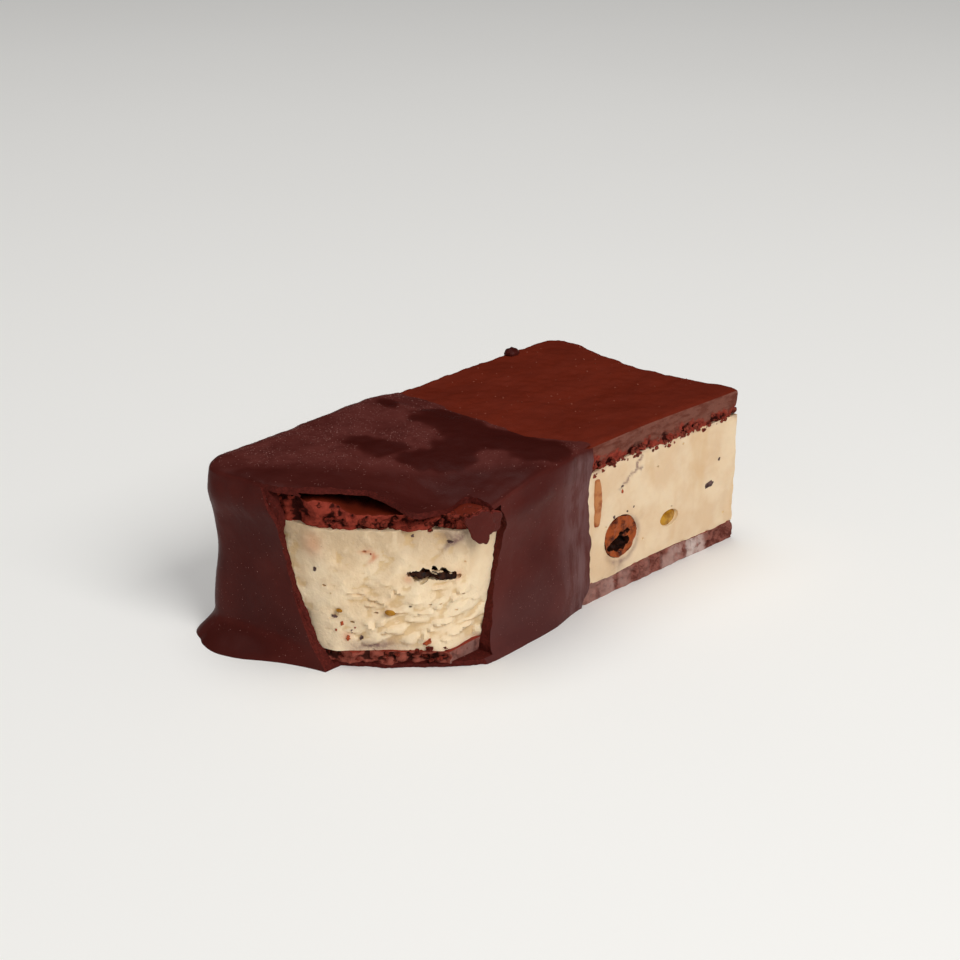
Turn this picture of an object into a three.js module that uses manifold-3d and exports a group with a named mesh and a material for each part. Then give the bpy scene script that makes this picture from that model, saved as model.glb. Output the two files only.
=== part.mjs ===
// A hand-held ice cream sandwich bar, 120 mm long: two cocoa biscuits with ice cream between
// them, one half dipped in dark chocolate, the other half cut clean with a knife.
// The near right corner of the dipped half has been bitten off.
//
// Frame: millimetres, +Z up, standing on Z = 0. +X runs from the dipped end to the cut end,
// -Y is the long side on which the bite and the clean knife cut both open.

import * as THREE from 'three';
import { mergeVertices } from 'three/addons/utils/BufferGeometryUtils.js';
import Module from 'manifold-3d';

const wasm = await Module();
wasm.setup();

// ---- Driving dimensions (mm) ----

const GAP = 0.3;                    // clearance between pieces that touch
const WELD_DISTANCE = 0.01;
const BEYOND = 100;                 // farther out than any part of the bar
const BAR_LENGTH = 108;             // the bar without its chocolate
const BAR_WIDTH = 53.8;
const BAR_HEIGHT = 36;
const CUT_END_X = 60;
const PLAN_SEGMENTS = [20, 10];      // the bar's plan is divided this finely
const TAPER = 5.4;                  // the bar is this much narrower at its dipped end
const TAPER_FROM_X = 12;
const TAPER_RUN = 60;
const END_SKEW = 0.115;             // the dipped end is not quite square to the sides
const SKEW_FROM_X = -20;
const SKEW_Y = -6.9;                // the end turns about this line
const END_CORNER_RADIUS = 4.5;
const FAR_CORNER_RADIUS = 4;        // the cut end's left corner
const HOLLOW_DEPTH = 4;             // the cut end is bowed inwards
const HOLLOW_FROM_X = 42;
const HOLLOW_Y = -2.5;
const HOLLOW_HALF_WIDTH = 20.5;
const TOP_SWELL = { height: 0.25, wavelength: 47, phase: 0 };

const TOP_BISCUIT_THICKNESS = 6;
const BOTTOM_BISCUIT_THICKNESS = 4.4;
const FILLING_SAG = 1.6;            // the ice cream's top is lower beside the bite
const FLOOR_SAG = 0.8;              // and so is its underside
const SAG_FROM = 8;                 // distances from the middle between which they sink
const SAG_TO = 32;
const FILLING_SWELL = { height: 0.3, wavelength: 26, phase: 1 };
const FLOOR_SWELL = { height: 0.3, wavelength: 29, phase: 4 };

const COAT_LIP = 0.8;               // chocolate thickness at the dip line
const COAT_WALL = 1.9;              // and further on
const COAT_FLOOR = 0.8;
const UNDER_GROUND = 1;             // how far the floor's room is made to reach below it
const COAT_TOP = 1.2;
const COAT_EDGE_RADIUS = 1.8;
const COAT_BUILD_UP = 14;           // the wall reaches its thickness this far from the dip line
const COAT_OVERRUN = 20;            // the skin is made this much too long, then trimmed
const WAIST = { z: 20.5, spread: 7, depth: 1 };         // the wall is thinnest half way up
const BRIM = { z: 31.5, spread: 2.2, depth: 0.8 };      // and thickest below its top edge
const DRIP = { height: 0.2, wavelength: 17, phase: 1 };
const FOOT_HEIGHT = 4.2;            // it ran down into a foot, flared more and more
const FOOT_CURVE = 1.3;
const FOOT_END = { reach: 7.1, least: 0.6, y: 16, spread: 14 };
const FOOT_RIGHT = { reach: 2.4, from: -10, to: 22 };   // grows along -X between these places
const FOOT_LEFT = { reach: 3.6, from: -9, to: 0, less: 0.75, lessFrom: 36, lessTo: 50 };
const UNDIPPED = { width: 90, height: 60, middleZ: 15, segments: [1, 30, 15] };
const DIP_LINE_X = 4.6;
const DIP_LINE_RIGHT = { rise: 5.4, from: 10, to: 27 }; // the line runs further on at both sides
const DIP_LINE_LEFT = { rise: 1.8, from: 14, to: 27 };
const DIP_LINE_FOOT = { drop: 2.6, height: 5 };         // and draws back at the foot
const DIP_LINE_SWELL = { height: 0.9, wavelength: 21, phase: 2 };

const DENT_DEPTH = 4.9;             // the top is pressed down beside the bite
const DENT_RADIUS = 15;
const DENT_X = -29;
const DENT_Y = -25;

const BITE_ANGLE = THREE.MathUtils.degToRad(136.9);   // direction that runs along the bite
const BITE_REACH = 41.3;            // distance of the bitten face from the origin
const BITE_LEAN = 0.09;             // the bitten face leans back as it rises
const BITE_CROWN = 0.006;           // and it is crowned, most in its middle
const BITE_MIDDLE = 9;
const BITE_SHEET = { length: 90, height: 54, middleZ: 22, segments: [36, 1, 18] };
const BITE_OUTWARD = 40;            // what the bite took reaches this much further out
// The ice cream's right corner is rounded off behind the bitten face, more and more downwards.
const WORN_CORNER = { depth: 5.6, fromZ: 30, toZ: 6, fromAlong: 6, toAlong: -2.5 };
const BITE_RIPPLES = [
  { height: 1, wavelength: 9.5, phase: 3 },
  { height: 0.7, wavelength: 5.3, phase: 5 },
];
const BITE_ROUGHNESS = 0.4;
const RECESS_MIDDLE = 11;
const RECESS_SPREAD = 15;           // what is set back is set back most in the bite's middle
const TOP_RECESS = 1.2;
const BOTTOM_RECESS = 0.8;
const COAT_BITE_ROUGHNESS = 0.15;

// The bays and tongues of the coat's bitten top edge: place along the bite, half width, depth.
const EDGE_BAYS = [[1.2, 4.2, 5.2], [11.8, 2.9, -3.4], [21.5, 5, 2.7], [34.5, 3, -0.8]];
const EDGE_FROM_Z = 22;
const EDGE_TO_Z = 31;

// The dip's walls are broken away from this height up, along two leaning lines.
const BROKEN_FROM_Z = 1.2;
const BROKEN_TOP = 3;
const BROKEN_UNDER_TOP = 0.7;
const BROKEN_RIGHT = { x: -24, lean: 0.215, curl: 2.8, curlFrom: 27, curlTo: 33 };
const BROKEN_LEFT = {
  y: -8.6, lean: 0.41, wave: 0.4, turn: 3.1, toe: 1.8, toeHeight: 5,
  bulge: 2, bulgeZ: 15, bulgeSpread: 7.5, nick: 1.2, nickZ: 28.5, nickSpread: 3.5,
};
const BROKEN_REACH = 50;
const LEFT_WALL_SEGMENTS = 30;

const NUT = { x: 20.4, z: 12.5, radius: 4.7, sunk: 0.4, shape: [1.12, 1.1, 1] };
const NUT_HOLLOW = { x: 20.2, z: 11.9, radius: 2.7, out: 0.2, shape: [1.15, 1.2, 0.95] };
const ALMOND = { x: 12.6, z: 22.4, thickness: 2.3, depth: 7, height: 11, radius: 0.8, lean: 0.04 };
const ALMOND_OUT = 0.8;             // it is set this far out, then trimmed to the cut side
const SHARD = { along: 10.5, depth: 5, height: 2.6, radius: 0.7, x: -32, y: -22.6, z: 19.7 };
const SHARD_BEND = { wave: 0.35, turn: 0.9, fall: 0.06 };

const FLAKE = { thickness: 1.1, radius: 0.46, drift: 0.12, wave: 0.25, turn: 1.3 };
const UPPER_FLAKE = {
  width: 5, height: 4.4, curl: -0.9, point: 0.35, turn: -0.1, tilt: 0.1, at: [-22.6, -29, 29.2],
};
const LOWER_FLAKE = {
  width: 8, height: 6.8, curl: 1.1, point: 0.8, turn: -0.35, tilt: -0.12, at: [-26.4, -30, 28.9],
};

const COLOURS = {
  iceCream: 0xe5cfa5,
  topBiscuit: 0x5e1f14,
  bottomBiscuit: 0x4a231c,
  coat: 0x3e1a17,
  nut: 0xb06a35,
  almond: 0xc98a4c,
  shard: 0x2a1310,
};

// ---- Shared helpers ----

const { clamp, lerp, smoothstep } = THREE.MathUtils;

const BAR_MIDDLE_X = CUT_END_X - BAR_LENGTH / 2;
const BAR_START_X = CUT_END_X - BAR_LENGTH;
const HALF_WIDTH = BAR_WIDTH / 2;
const BITE_ALONG = new THREE.Vector2(Math.cos(BITE_ANGLE), Math.sin(BITE_ANGLE));
const BITE_OUT = new THREE.Vector2(-BITE_ALONG.y, BITE_ALONG.x);

// A shallow uneven swell, made of two crossing waves, that rises and falls by about its height.
function swell(x, y, { height, wavelength, phase }) {
  const w = (2 * Math.PI) / wavelength;
  const first = Math.sin(w * x + 0.7 * w * y + phase);
  const second = Math.sin(0.6 * w * x - 1.1 * w * y + 2.3 * phase + 1);
  return height * (0.55 * first + 0.45 * second);
}

function toSolid(geometry) {
  const bare = geometry.clone();
  bare.deleteAttribute('normal');
  bare.deleteAttribute('uv');
  const merged = mergeVertices(bare, 1e-4);
  const vertProperties = new Float32Array(merged.attributes.position.array);
  const triVerts = new Uint32Array(merged.index.array);
  return new wasm.Manifold(new wasm.Mesh({ numProp: 3, vertProperties, triVerts }));
}

// The solid's surface, with corners closer than the weld distance made one.
function toGeometry(solid) {
  const mesh = solid.getMesh();
  const raw = new THREE.BufferGeometry();
  raw.setAttribute('position', new THREE.BufferAttribute(mesh.vertProperties, 3));
  raw.setIndex(new THREE.BufferAttribute(mesh.triVerts, 1));
  const welded = mergeVertices(raw, WELD_DISTANCE);
  const corners = welded.index.array;
  const kept = [];
  for (let i = 0; i < corners.length; i += 3) {
    const [a, b, c] = corners.slice(i, i + 3);
    if (a !== b && b !== c && c !== a) kept.push(a, b, c);
  }
  welded.setIndex(kept);
  welded.computeVertexNormals();
  return welded;
}

// Moves every vertex of a geometry by a function that changes the point it is given.
function warp(geometry, change) {
  const positions = geometry.attributes.position;
  const point = new THREE.Vector3();
  for (let i = 0; i < positions.count; i += 1) {
    point.fromBufferAttribute(positions, i);
    change(point);
    positions.setXYZ(i, point.x, point.y, point.z);
  }
  return geometry;
}

// A box with rounded edges, standing on its own centre, with enough faces to be bent.
function roundedBox(size, radius, segments) {
  const geometry = new THREE.BoxGeometry(size.x, size.y, size.z, ...segments);
  const inner = size.clone().multiplyScalar(0.5).subScalar(radius);
  const core = new THREE.Vector3();
  return warp(geometry, (p) => {
    core.copy(p).clamp(inner.clone().negate(), inner);
    p.sub(core).normalize().multiplyScalar(radius).add(core);
  });
}

// A bell-shaped bump, 1 at its middle.
function bump(value, middle, spread) {
  return Math.exp(-(((value - middle) / spread) ** 2));
}

// ---- The bar's form ----

function dent(x, y) {
  const distance = Math.hypot(x - DENT_X, y - DENT_Y);
  return DENT_DEPTH * Math.exp(-((distance / DENT_RADIUS) ** 2));
}

// Rounds off the upright corner at endX, on the side of the bar that sideX and sideY name.
function roundCorner(p, endX, sideX, sideY, radius) {
  const inX = sideX * (p.x - endX) + radius;
  const inY = sideY * p.y - (HALF_WIDTH - radius);
  if (inX <= 0 || inY <= 0) return;
  const pull = 1 - Math.max(inX, inY) / Math.hypot(inX, inY);
  p.x -= sideX * inX * pull;
  p.y -= sideY * inY * pull;
}

// Bends the plan of a straight bar into the real one: tapered, skewed and hollow at its cut end.
function bendPlan(p) {
  roundCorner(p, BAR_START_X, -1, 1, END_CORNER_RADIUS);
  roundCorner(p, BAR_START_X, -1, -1, END_CORNER_RADIUS);
  roundCorner(p, CUT_END_X, 1, 1, FAR_CORNER_RADIUS);
  const dipped = clamp((TAPER_FROM_X - p.x) / TAPER_RUN, 0, 1);
  const nearEnd = smoothstep(-p.x, -SKEW_FROM_X, -BAR_START_X);
  const nearCut = smoothstep(p.x, HOLLOW_FROM_X, CUT_END_X);
  const offMiddle = clamp(Math.abs(p.y - HOLLOW_Y) / HOLLOW_HALF_WIDTH, 0, 1);
  p.x -= END_SKEW * (p.y - SKEW_Y) * nearEnd;
  p.x -= HOLLOW_DEPTH * nearCut * (1 - offMiddle ** 2);
  p.y -= TAPER * dipped * (p.y + HALF_WIDTH) / BAR_WIDTH;
}

// The heights at which one layer ends and the next begins, at a place on the plan.
function barTop(x, y) {
  return BAR_HEIGHT - dent(x, y) + swell(x, y, TOP_SWELL);
}

// How near a place is to the bitten corner, from 0 to 1.
function nearBite(x, y) {
  return smoothstep(BITE_OUT.x * x + BITE_OUT.y * y, SAG_FROM, SAG_TO);
}

function fillingTop(x, y) {
  const sag = FILLING_SAG * nearBite(x, y);
  return BAR_HEIGHT - TOP_BISCUIT_THICKNESS - sag + swell(x, y, FILLING_SWELL);
}

function fillingBottom(x, y) {
  const sag = FLOOR_SAG * nearBite(x, y);
  return BOTTOM_BISCUIT_THICKNESS - sag + swell(x, y, FLOOR_SWELL);
}

const barBottom = () => 0;

// One layer of the bar between two uneven heights, grown outwards by a clearance.
function layerSolid(lower, upper, clearance = 0) {
  const length = BAR_LENGTH + 2 * clearance;
  const width = BAR_WIDTH + 2 * clearance;
  const layer = new THREE.BoxGeometry(length, width, 1, ...PLAN_SEGMENTS, 1);
  layer.translate(BAR_MIDDLE_X, 0, 0);
  return toSolid(warp(layer, (p) => {
    bendPlan(p);
    p.z = p.z < 0 ? lower(p.x, p.y) : upper(p.x, p.y);
  }));
}

// The room that the whole bar takes up, with a clearance, down to a flat floor.
function barRoomSolid(clearance, floor) {
  const lower = () => floor;
  const upper = (x, y) => barTop(x, y) + clearance;
  return layerSolid(lower, upper, clearance);
}

// ---- The bite ----

// How far out the bitten face stands, along the bite and up it.
function biteFace(along, z) {
  const crown = BITE_CROWN * (along - BITE_MIDDLE) ** 2;
  return BITE_REACH - BITE_LEAN * z - crown;
}

// A part of the bite that is set back by a depth in its middle, and less towards its ends.
function recess(depth, along) {
  return depth * bump(along, RECESS_MIDDLE, RECESS_SPREAD);
}

// How far the coat's top edge is set back at a place along the bite.
function edgeRecess(along, z) {
  const high = smoothstep(z, EDGE_FROM_Z, EDGE_TO_Z);
  const bays = EDGE_BAYS.map(([place, half, depth]) => depth * bump(along, place, half));
  return high * bays.reduce((total, bay) => total + bay, 0);
}

// How far the ice cream's lower right corner is worn away.
function wornCorner(along, z) {
  const low = 1 - smoothstep(z, WORN_CORNER.toZ, WORN_CORNER.fromZ);
  const right = smoothstep(-along, -WORN_CORNER.fromAlong, -WORN_CORNER.toAlong);
  return WORN_CORNER.depth * low * right;
}

// What the bite took: all that lies outside the bitten face, which is set back by setBack(along, z).
function biteSolid(setBack, roughness) {
  const { length, height, middleZ, segments } = BITE_SHEET;
  const bite = new THREE.BoxGeometry(length, 1, height, ...segments);
  bite.translate(BITE_MIDDLE, 0, middleZ);
  return toSolid(warp(bite, (p) => {
    const ripples = BITE_RIPPLES.reduce((total, ripple) => total + swell(p.x, p.z, ripple), 0);
    const face = biteFace(p.x, p.z) - setBack(p.x, p.z) + roughness * ripples;
    const out = p.y < 0 ? face : BITE_REACH + BITE_OUTWARD;
    p.set(
      BITE_ALONG.x * p.x + BITE_OUT.x * out,
      BITE_ALONG.y * p.x + BITE_OUT.y * out,
      p.z,
    );
  }));
}

// ---- The chocolate dip ----

// Where the chocolate ends: further along on the right side, and drawn back at the foot.
function dipLine(y, z) {
  const right = DIP_LINE_RIGHT.rise * smoothstep(-y, DIP_LINE_RIGHT.from, DIP_LINE_RIGHT.to);
  const left = DIP_LINE_LEFT.rise * smoothstep(y, DIP_LINE_LEFT.from, DIP_LINE_LEFT.to);
  const foot = DIP_LINE_FOOT.drop * (1 - smoothstep(z, 0, DIP_LINE_FOOT.height));
  return DIP_LINE_X + right + left - foot + swell(y, z, DIP_LINE_SWELL);
}

// All that lies on the cut side of the dip line.
function undippedSolid(shift) {
  const { width, height, middleZ, segments } = UNDIPPED;
  const rest = new THREE.BoxGeometry(1, width, height, ...segments);
  rest.translate(0, 0, middleZ);
  return toSolid(warp(rest, (p) => {
    p.x = p.x < 0 ? dipLine(p.y, p.z) + shift : BEYOND;
  }));
}

// How far the foot stands out at a place on the outline.
function footFlare(x, y, outX, outY) {
  const end = FOOT_END.reach * bump(y, FOOT_END.y, FOOT_END.spread) + FOOT_END.least;
  const right = FOOT_RIGHT.reach * smoothstep(-x, FOOT_RIGHT.from, FOOT_RIGHT.to);
  const less = 1 - FOOT_LEFT.less * smoothstep(-x, FOOT_LEFT.lessFrom, FOOT_LEFT.lessTo);
  const left = FOOT_LEFT.reach * smoothstep(-x, FOOT_LEFT.from, FOOT_LEFT.to) * less;
  return Math.max(0, -outX) * end + Math.max(0, -outY) * right + Math.max(0, outY) * left;
}

function dipOuterSolid() {
  const length = DIP_LINE_X + COAT_OVERRUN - BAR_START_X;
  const top = BAR_HEIGHT + COAT_TOP;
  const size = new THREE.Vector3(length, BAR_WIDTH, top + 2 * COAT_EDGE_RADIUS);
  const block = roundedBox(size, COAT_EDGE_RADIUS, [22, 18, 13]);
  block.translate(BAR_START_X + length / 2, 0, top - size.z / 2);
  const skin = toSolid(warp(block, (p) => {
    const { x, y, z } = p;
    const outX = -smoothstep(BAR_START_X + COAT_EDGE_RADIUS - x, 0, COAT_EDGE_RADIUS);
    const outY = Math.sign(y) * smoothstep(Math.abs(y), HALF_WIDTH - COAT_EDGE_RADIUS, HALF_WIDTH);
    const height = Math.max(z, 0);
    const built = smoothstep(dipLine(y, height) - x, 0, COAT_BUILD_UP);
    const wall = GAP + COAT_LIP + (COAT_WALL - COAT_LIP) * built;
    const waist = WAIST.depth * bump(height, WAIST.z, WAIST.spread);
    const brim = BRIM.depth * bump(height, BRIM.z, BRIM.spread);
    const drip = swell(x + y, height, DRIP);
    const spread = Math.pow(clamp(1 - height / FOOT_HEIGHT, 0, 1), FOOT_CURVE);
    const foot = spread * footFlare(x, y, outX, outY);
    const uneven = built * (brim - waist + drip);
    const grow = (wall + uneven + foot) / Math.max(1, Math.hypot(outX, outY));
    bendPlan(p);
    const crown = barTop(p.x, p.y) - BAR_HEIGHT + (1 - built) * (COAT_LIP - COAT_TOP);
    p.z += clamp(z / BAR_HEIGHT, 0, 1) * crown;
    p.x += outX * grow;
    p.y += outY * grow;
  }));
  return skin.intersect(aboveGroundSolid());
}

function aboveGroundSolid() {
  const air = new THREE.BoxGeometry(2 * BEYOND, 2 * BEYOND, BEYOND);
  air.translate(0, 0, BEYOND / 2);
  return toSolid(air);
}

// Where the left wall broke along Y, at a height.
function leftBreak(level) {
  const wave = BROKEN_LEFT.wave * Math.sin(level / BROKEN_LEFT.turn);
  const toe = BROKEN_LEFT.toe * (1 - smoothstep(level, 0, BROKEN_LEFT.toeHeight));
  const bulge = BROKEN_LEFT.bulge * bump(level, BROKEN_LEFT.bulgeZ, BROKEN_LEFT.bulgeSpread);
  const nick = BROKEN_LEFT.nick * bump(level, BROKEN_LEFT.nickZ, BROKEN_LEFT.nickSpread);
  return BROKEN_LEFT.y + BROKEN_LEFT.lean * level + wave - toe + bulge - nick;
}

// The walls of the dip broke away past the bitten face, the right one further than the left.
function brokenWallsSolid() {
  const column = new THREE.BoxGeometry(1, 1, 1, 10, 10, 8);
  column.translate(0.5, 0.5, 0.5);
  return toSolid(warp(column, (p) => {
    const level = lerp(BROKEN_FROM_Z, BAR_HEIGHT - BROKEN_TOP, p.z);
    const curl = BROKEN_RIGHT.curl * smoothstep(level, BROKEN_RIGHT.curlFrom, BROKEN_RIGHT.curlTo);
    const right = BROKEN_RIGHT.x + BROKEN_RIGHT.lean * level - curl;
    const left = leftBreak(level);
    p.x = lerp(right - BROKEN_REACH, right, p.x);
    p.y = lerp(left - BROKEN_REACH, left, p.y);
    p.z = lerp(BROKEN_FROM_Z, barTop(p.x, p.y) - BROKEN_UNDER_TOP, p.z);
  }));
}

// What the bite took of the coat's top and floor, no further left than the broken wall.
function coatBiteSolid() {
  const size = [2 * BEYOND, BEYOND, BEYOND];
  const beforeLeftWall = new THREE.BoxGeometry(...size, 1, 1, LEFT_WALL_SEGMENTS);
  warp(beforeLeftWall, (p) => {
    p.y += leftBreak(clamp(p.z, 0, BAR_HEIGHT)) - BEYOND / 2;
  });
  return biteSolid(edgeRecess, COAT_BITE_ROUGHNESS).intersect(toSolid(beforeLeftWall));
}

function dipSolid() {
  const cavity = barRoomSolid(GAP, COAT_FLOOR);
  return dipOuterSolid()
    .subtract(cavity)
    .subtract(undippedSolid(0))
    .subtract(brokenWallsSolid())
    .subtract(coatBiteSolid());
}

// ---- What is in the ice cream ----

// A nut sliced through, flush with the knife cut, with its empty middle open.
function nutSolid(grow) {
  const body = new THREE.SphereGeometry(NUT.radius + grow, 18, 12);
  body.scale(...NUT.shape);
  body.translate(NUT.x, -HALF_WIDTH + NUT.sunk, NUT.z);
  return toSolid(body);
}

function nutHollowSolid() {
  const hollow = new THREE.SphereGeometry(NUT_HOLLOW.radius, 14, 10);
  hollow.scale(...NUT_HOLLOW.shape);
  hollow.translate(NUT_HOLLOW.x, -HALF_WIDTH - NUT_HOLLOW.out, NUT_HOLLOW.z);
  return toSolid(hollow);
}

// A flaked almond standing on edge just past the dip line.
function almondSolid(grow) {
  const size = new THREE.Vector3(ALMOND.thickness, ALMOND.depth, ALMOND.height).addScalar(2 * grow);
  const blade = roundedBox(size, ALMOND.radius, [2, 4, 6]);
  blade.rotateY(ALMOND.lean);
  blade.translate(ALMOND.x, -HALF_WIDTH + ALMOND.depth / 2 - ALMOND_OUT, ALMOND.z);
  return toSolid(blade);
}

// A broken piece of chocolate set in the bitten face.
function shardSolid(grow) {
  const size = new THREE.Vector3(SHARD.along, SHARD.depth, SHARD.height).addScalar(2 * grow);
  const plate = roundedBox(size, SHARD.radius, [5, 3, 2]);
  warp(plate, (p) => {
    p.z += SHARD_BEND.wave * Math.sin(p.x * SHARD_BEND.turn) - SHARD_BEND.fall * p.x;
  });
  plate.rotateZ(BITE_ANGLE);
  plate.translate(SHARD.x, SHARD.y, SHARD.z);
  return toSolid(plate);
}

// ---- The layers ----

function iceCreamSolid() {
  const half = GAP / 2;
  const lower = (x, y) => fillingBottom(x, y) + half;
  const upper = (x, y) => fillingTop(x, y) - half;
  return layerSolid(lower, upper)
    .subtract(biteSolid(wornCorner, BITE_ROUGHNESS))
    .subtract(nutSolid(GAP))
    .subtract(almondSolid(GAP))
    .subtract(shardSolid(GAP));
}

function topBiscuitSolid() {
  const lower = (x, y) => fillingTop(x, y) + GAP / 2;
  const setBack = (along) => recess(TOP_RECESS, along);
  return layerSolid(lower, barTop).subtract(biteSolid(setBack, BITE_ROUGHNESS));
}

// It stands on the ground past the dip line, and is stepped up over the chocolate's floor.
function bottomBiscuitSolid() {
  const upper = (x, y) => fillingBottom(x, y) - GAP / 2;
  const floor = new THREE.BoxGeometry(2 * BEYOND, 2 * BEYOND, UNDER_GROUND + COAT_FLOOR + GAP);
  floor.translate(0, 0, (COAT_FLOOR + GAP - UNDER_GROUND) / 2);
  const setBack = (along) => recess(BOTTOM_RECESS, along);
  return layerSolid(barBottom, upper)
    .subtract(toSolid(floor).subtract(undippedSolid(GAP)))
    .subtract(biteSolid(setBack, BITE_ROUGHNESS));
}

// ---- Loose pieces of the broken wall, hanging at the bite's right edge ----

// A thin curled plate: width along X, height along Z, drawn in towards its lower end.
function flakeSolid({ width, height, curl, point, turn, tilt, at }) {
  const size = new THREE.Vector3(width, FLAKE.thickness, height);
  const plate = roundedBox(size, FLAKE.radius, [6, 2, 7]);
  warp(plate, (p) => {
    const down = clamp(0.5 - p.z / height, 0, 1);
    p.x *= 1 - point * down ** 2;
    p.x += FLAKE.drift * width * down;
    p.y += curl * (p.x / width) ** 2;
    p.z += FLAKE.wave * Math.sin(p.x * FLAKE.turn);
  });
  plate.rotateZ(turn);
  plate.rotateX(tilt);
  plate.translate(...at);
  return toSolid(plate);
}

// ---- Assembly ----

function addPiece(group, name, solid, color, roughness) {
  const material = new THREE.MeshStandardMaterial({ color, roughness, metalness: 0 });
  const mesh = new THREE.Mesh(toGeometry(solid), material);
  mesh.name = name;
  group.add(mesh);
}

function buildSandwich() {
  const group = new THREE.Group();
  const room = barRoomSolid(0, 0);
  const nut = nutSolid(0).intersect(room).subtract(nutHollowSolid());
  const almond = almondSolid(0).intersect(room);
  addPiece(group, 'ice_cream', iceCreamSolid(), COLOURS.iceCream, 0.5);
  addPiece(group, 'top_biscuit', topBiscuitSolid(), COLOURS.topBiscuit, 0.8);
  addPiece(group, 'bottom_biscuit', bottomBiscuitSolid(), COLOURS.bottomBiscuit, 0.8);
  addPiece(group, 'chocolate_dip', dipSolid(), COLOURS.coat, 0.35);
  addPiece(group, 'hollow_nut', nut, COLOURS.nut, 0.5);
  addPiece(group, 'almond_sliver', almond, COLOURS.almond, 0.5);
  addPiece(group, 'chocolate_shard', shardSolid(0), COLOURS.shard, 0.4);
  addPiece(group, 'shell_flake_upper', flakeSolid(UPPER_FLAKE), COLOURS.coat, 0.35);
  addPiece(group, 'shell_flake_lower', flakeSolid(LOWER_FLAKE), COLOURS.coat, 0.35);
  return group;
}

const group = buildSandwich();

export default group;
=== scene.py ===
"""The looks of a hand-held ice cream sandwich bar.

Two cocoa biscuits hold vanilla ice cream. One half of the bar is dipped in dark chocolate and has lost
its right corner to a bite, and the other half is cut clean. Lengths in the dataclasses are in
millimetres, and the meshes are in metres.
"""

import logging
import math
import random
from collections.abc import Callable, Sequence
from dataclasses import dataclass, field
from enum import Enum

import bpy
import numpy as np
from mathutils import Matrix, Vector


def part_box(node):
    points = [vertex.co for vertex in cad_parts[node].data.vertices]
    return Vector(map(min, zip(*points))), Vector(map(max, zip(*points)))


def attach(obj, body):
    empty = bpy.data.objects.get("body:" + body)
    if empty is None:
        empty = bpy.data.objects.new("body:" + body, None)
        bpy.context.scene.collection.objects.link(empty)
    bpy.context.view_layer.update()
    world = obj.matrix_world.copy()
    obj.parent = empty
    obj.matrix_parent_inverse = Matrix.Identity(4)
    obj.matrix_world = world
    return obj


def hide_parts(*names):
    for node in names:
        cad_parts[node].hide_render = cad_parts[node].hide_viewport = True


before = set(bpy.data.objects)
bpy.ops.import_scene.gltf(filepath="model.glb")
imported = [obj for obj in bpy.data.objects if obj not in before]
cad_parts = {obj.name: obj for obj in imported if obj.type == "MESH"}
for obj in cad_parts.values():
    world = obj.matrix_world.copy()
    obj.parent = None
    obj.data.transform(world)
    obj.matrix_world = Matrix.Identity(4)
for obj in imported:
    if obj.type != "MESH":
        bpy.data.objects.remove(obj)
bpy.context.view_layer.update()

MM = 0.001  # a millimetre, in metres
LOG = logging.getLogger("ice_cream_bar")
SEED = 7
WEIGHT_LEVELS = 8

Array = np.ndarray
Object = bpy.types.Object
Material = bpy.types.Material
Socket = bpy.types.NodeSocket
Test = Callable[[Array, Array], Array]
Surface = Callable[[Array, Array], Array]
Reliefs = Sequence[tuple["Relief", float, float]]
Pair = tuple[float, float]
Triple = tuple[float, float, float]
Row = Sequence[float]
Rows = Sequence[Row]


# --- Choices ---


class Axis(Enum):
    """An axis of the part's frame."""

    X = 0
    Y = 1
    Z = 2


class Relief(Enum):
    """A kind of uneven surface, named by the noise that makes it."""

    SWELLS = "SOFT_NOISE"
    CREASES = "HARD_NOISE"


class Cut(Enum):
    """What a boolean does with its cutter."""

    TAKE_AWAY = "DIFFERENCE"
    KEEP_COMMON = "INTERSECT"


# --- The workbench: primitives, selections by place, edit-mode operators, modifiers ---


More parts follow.
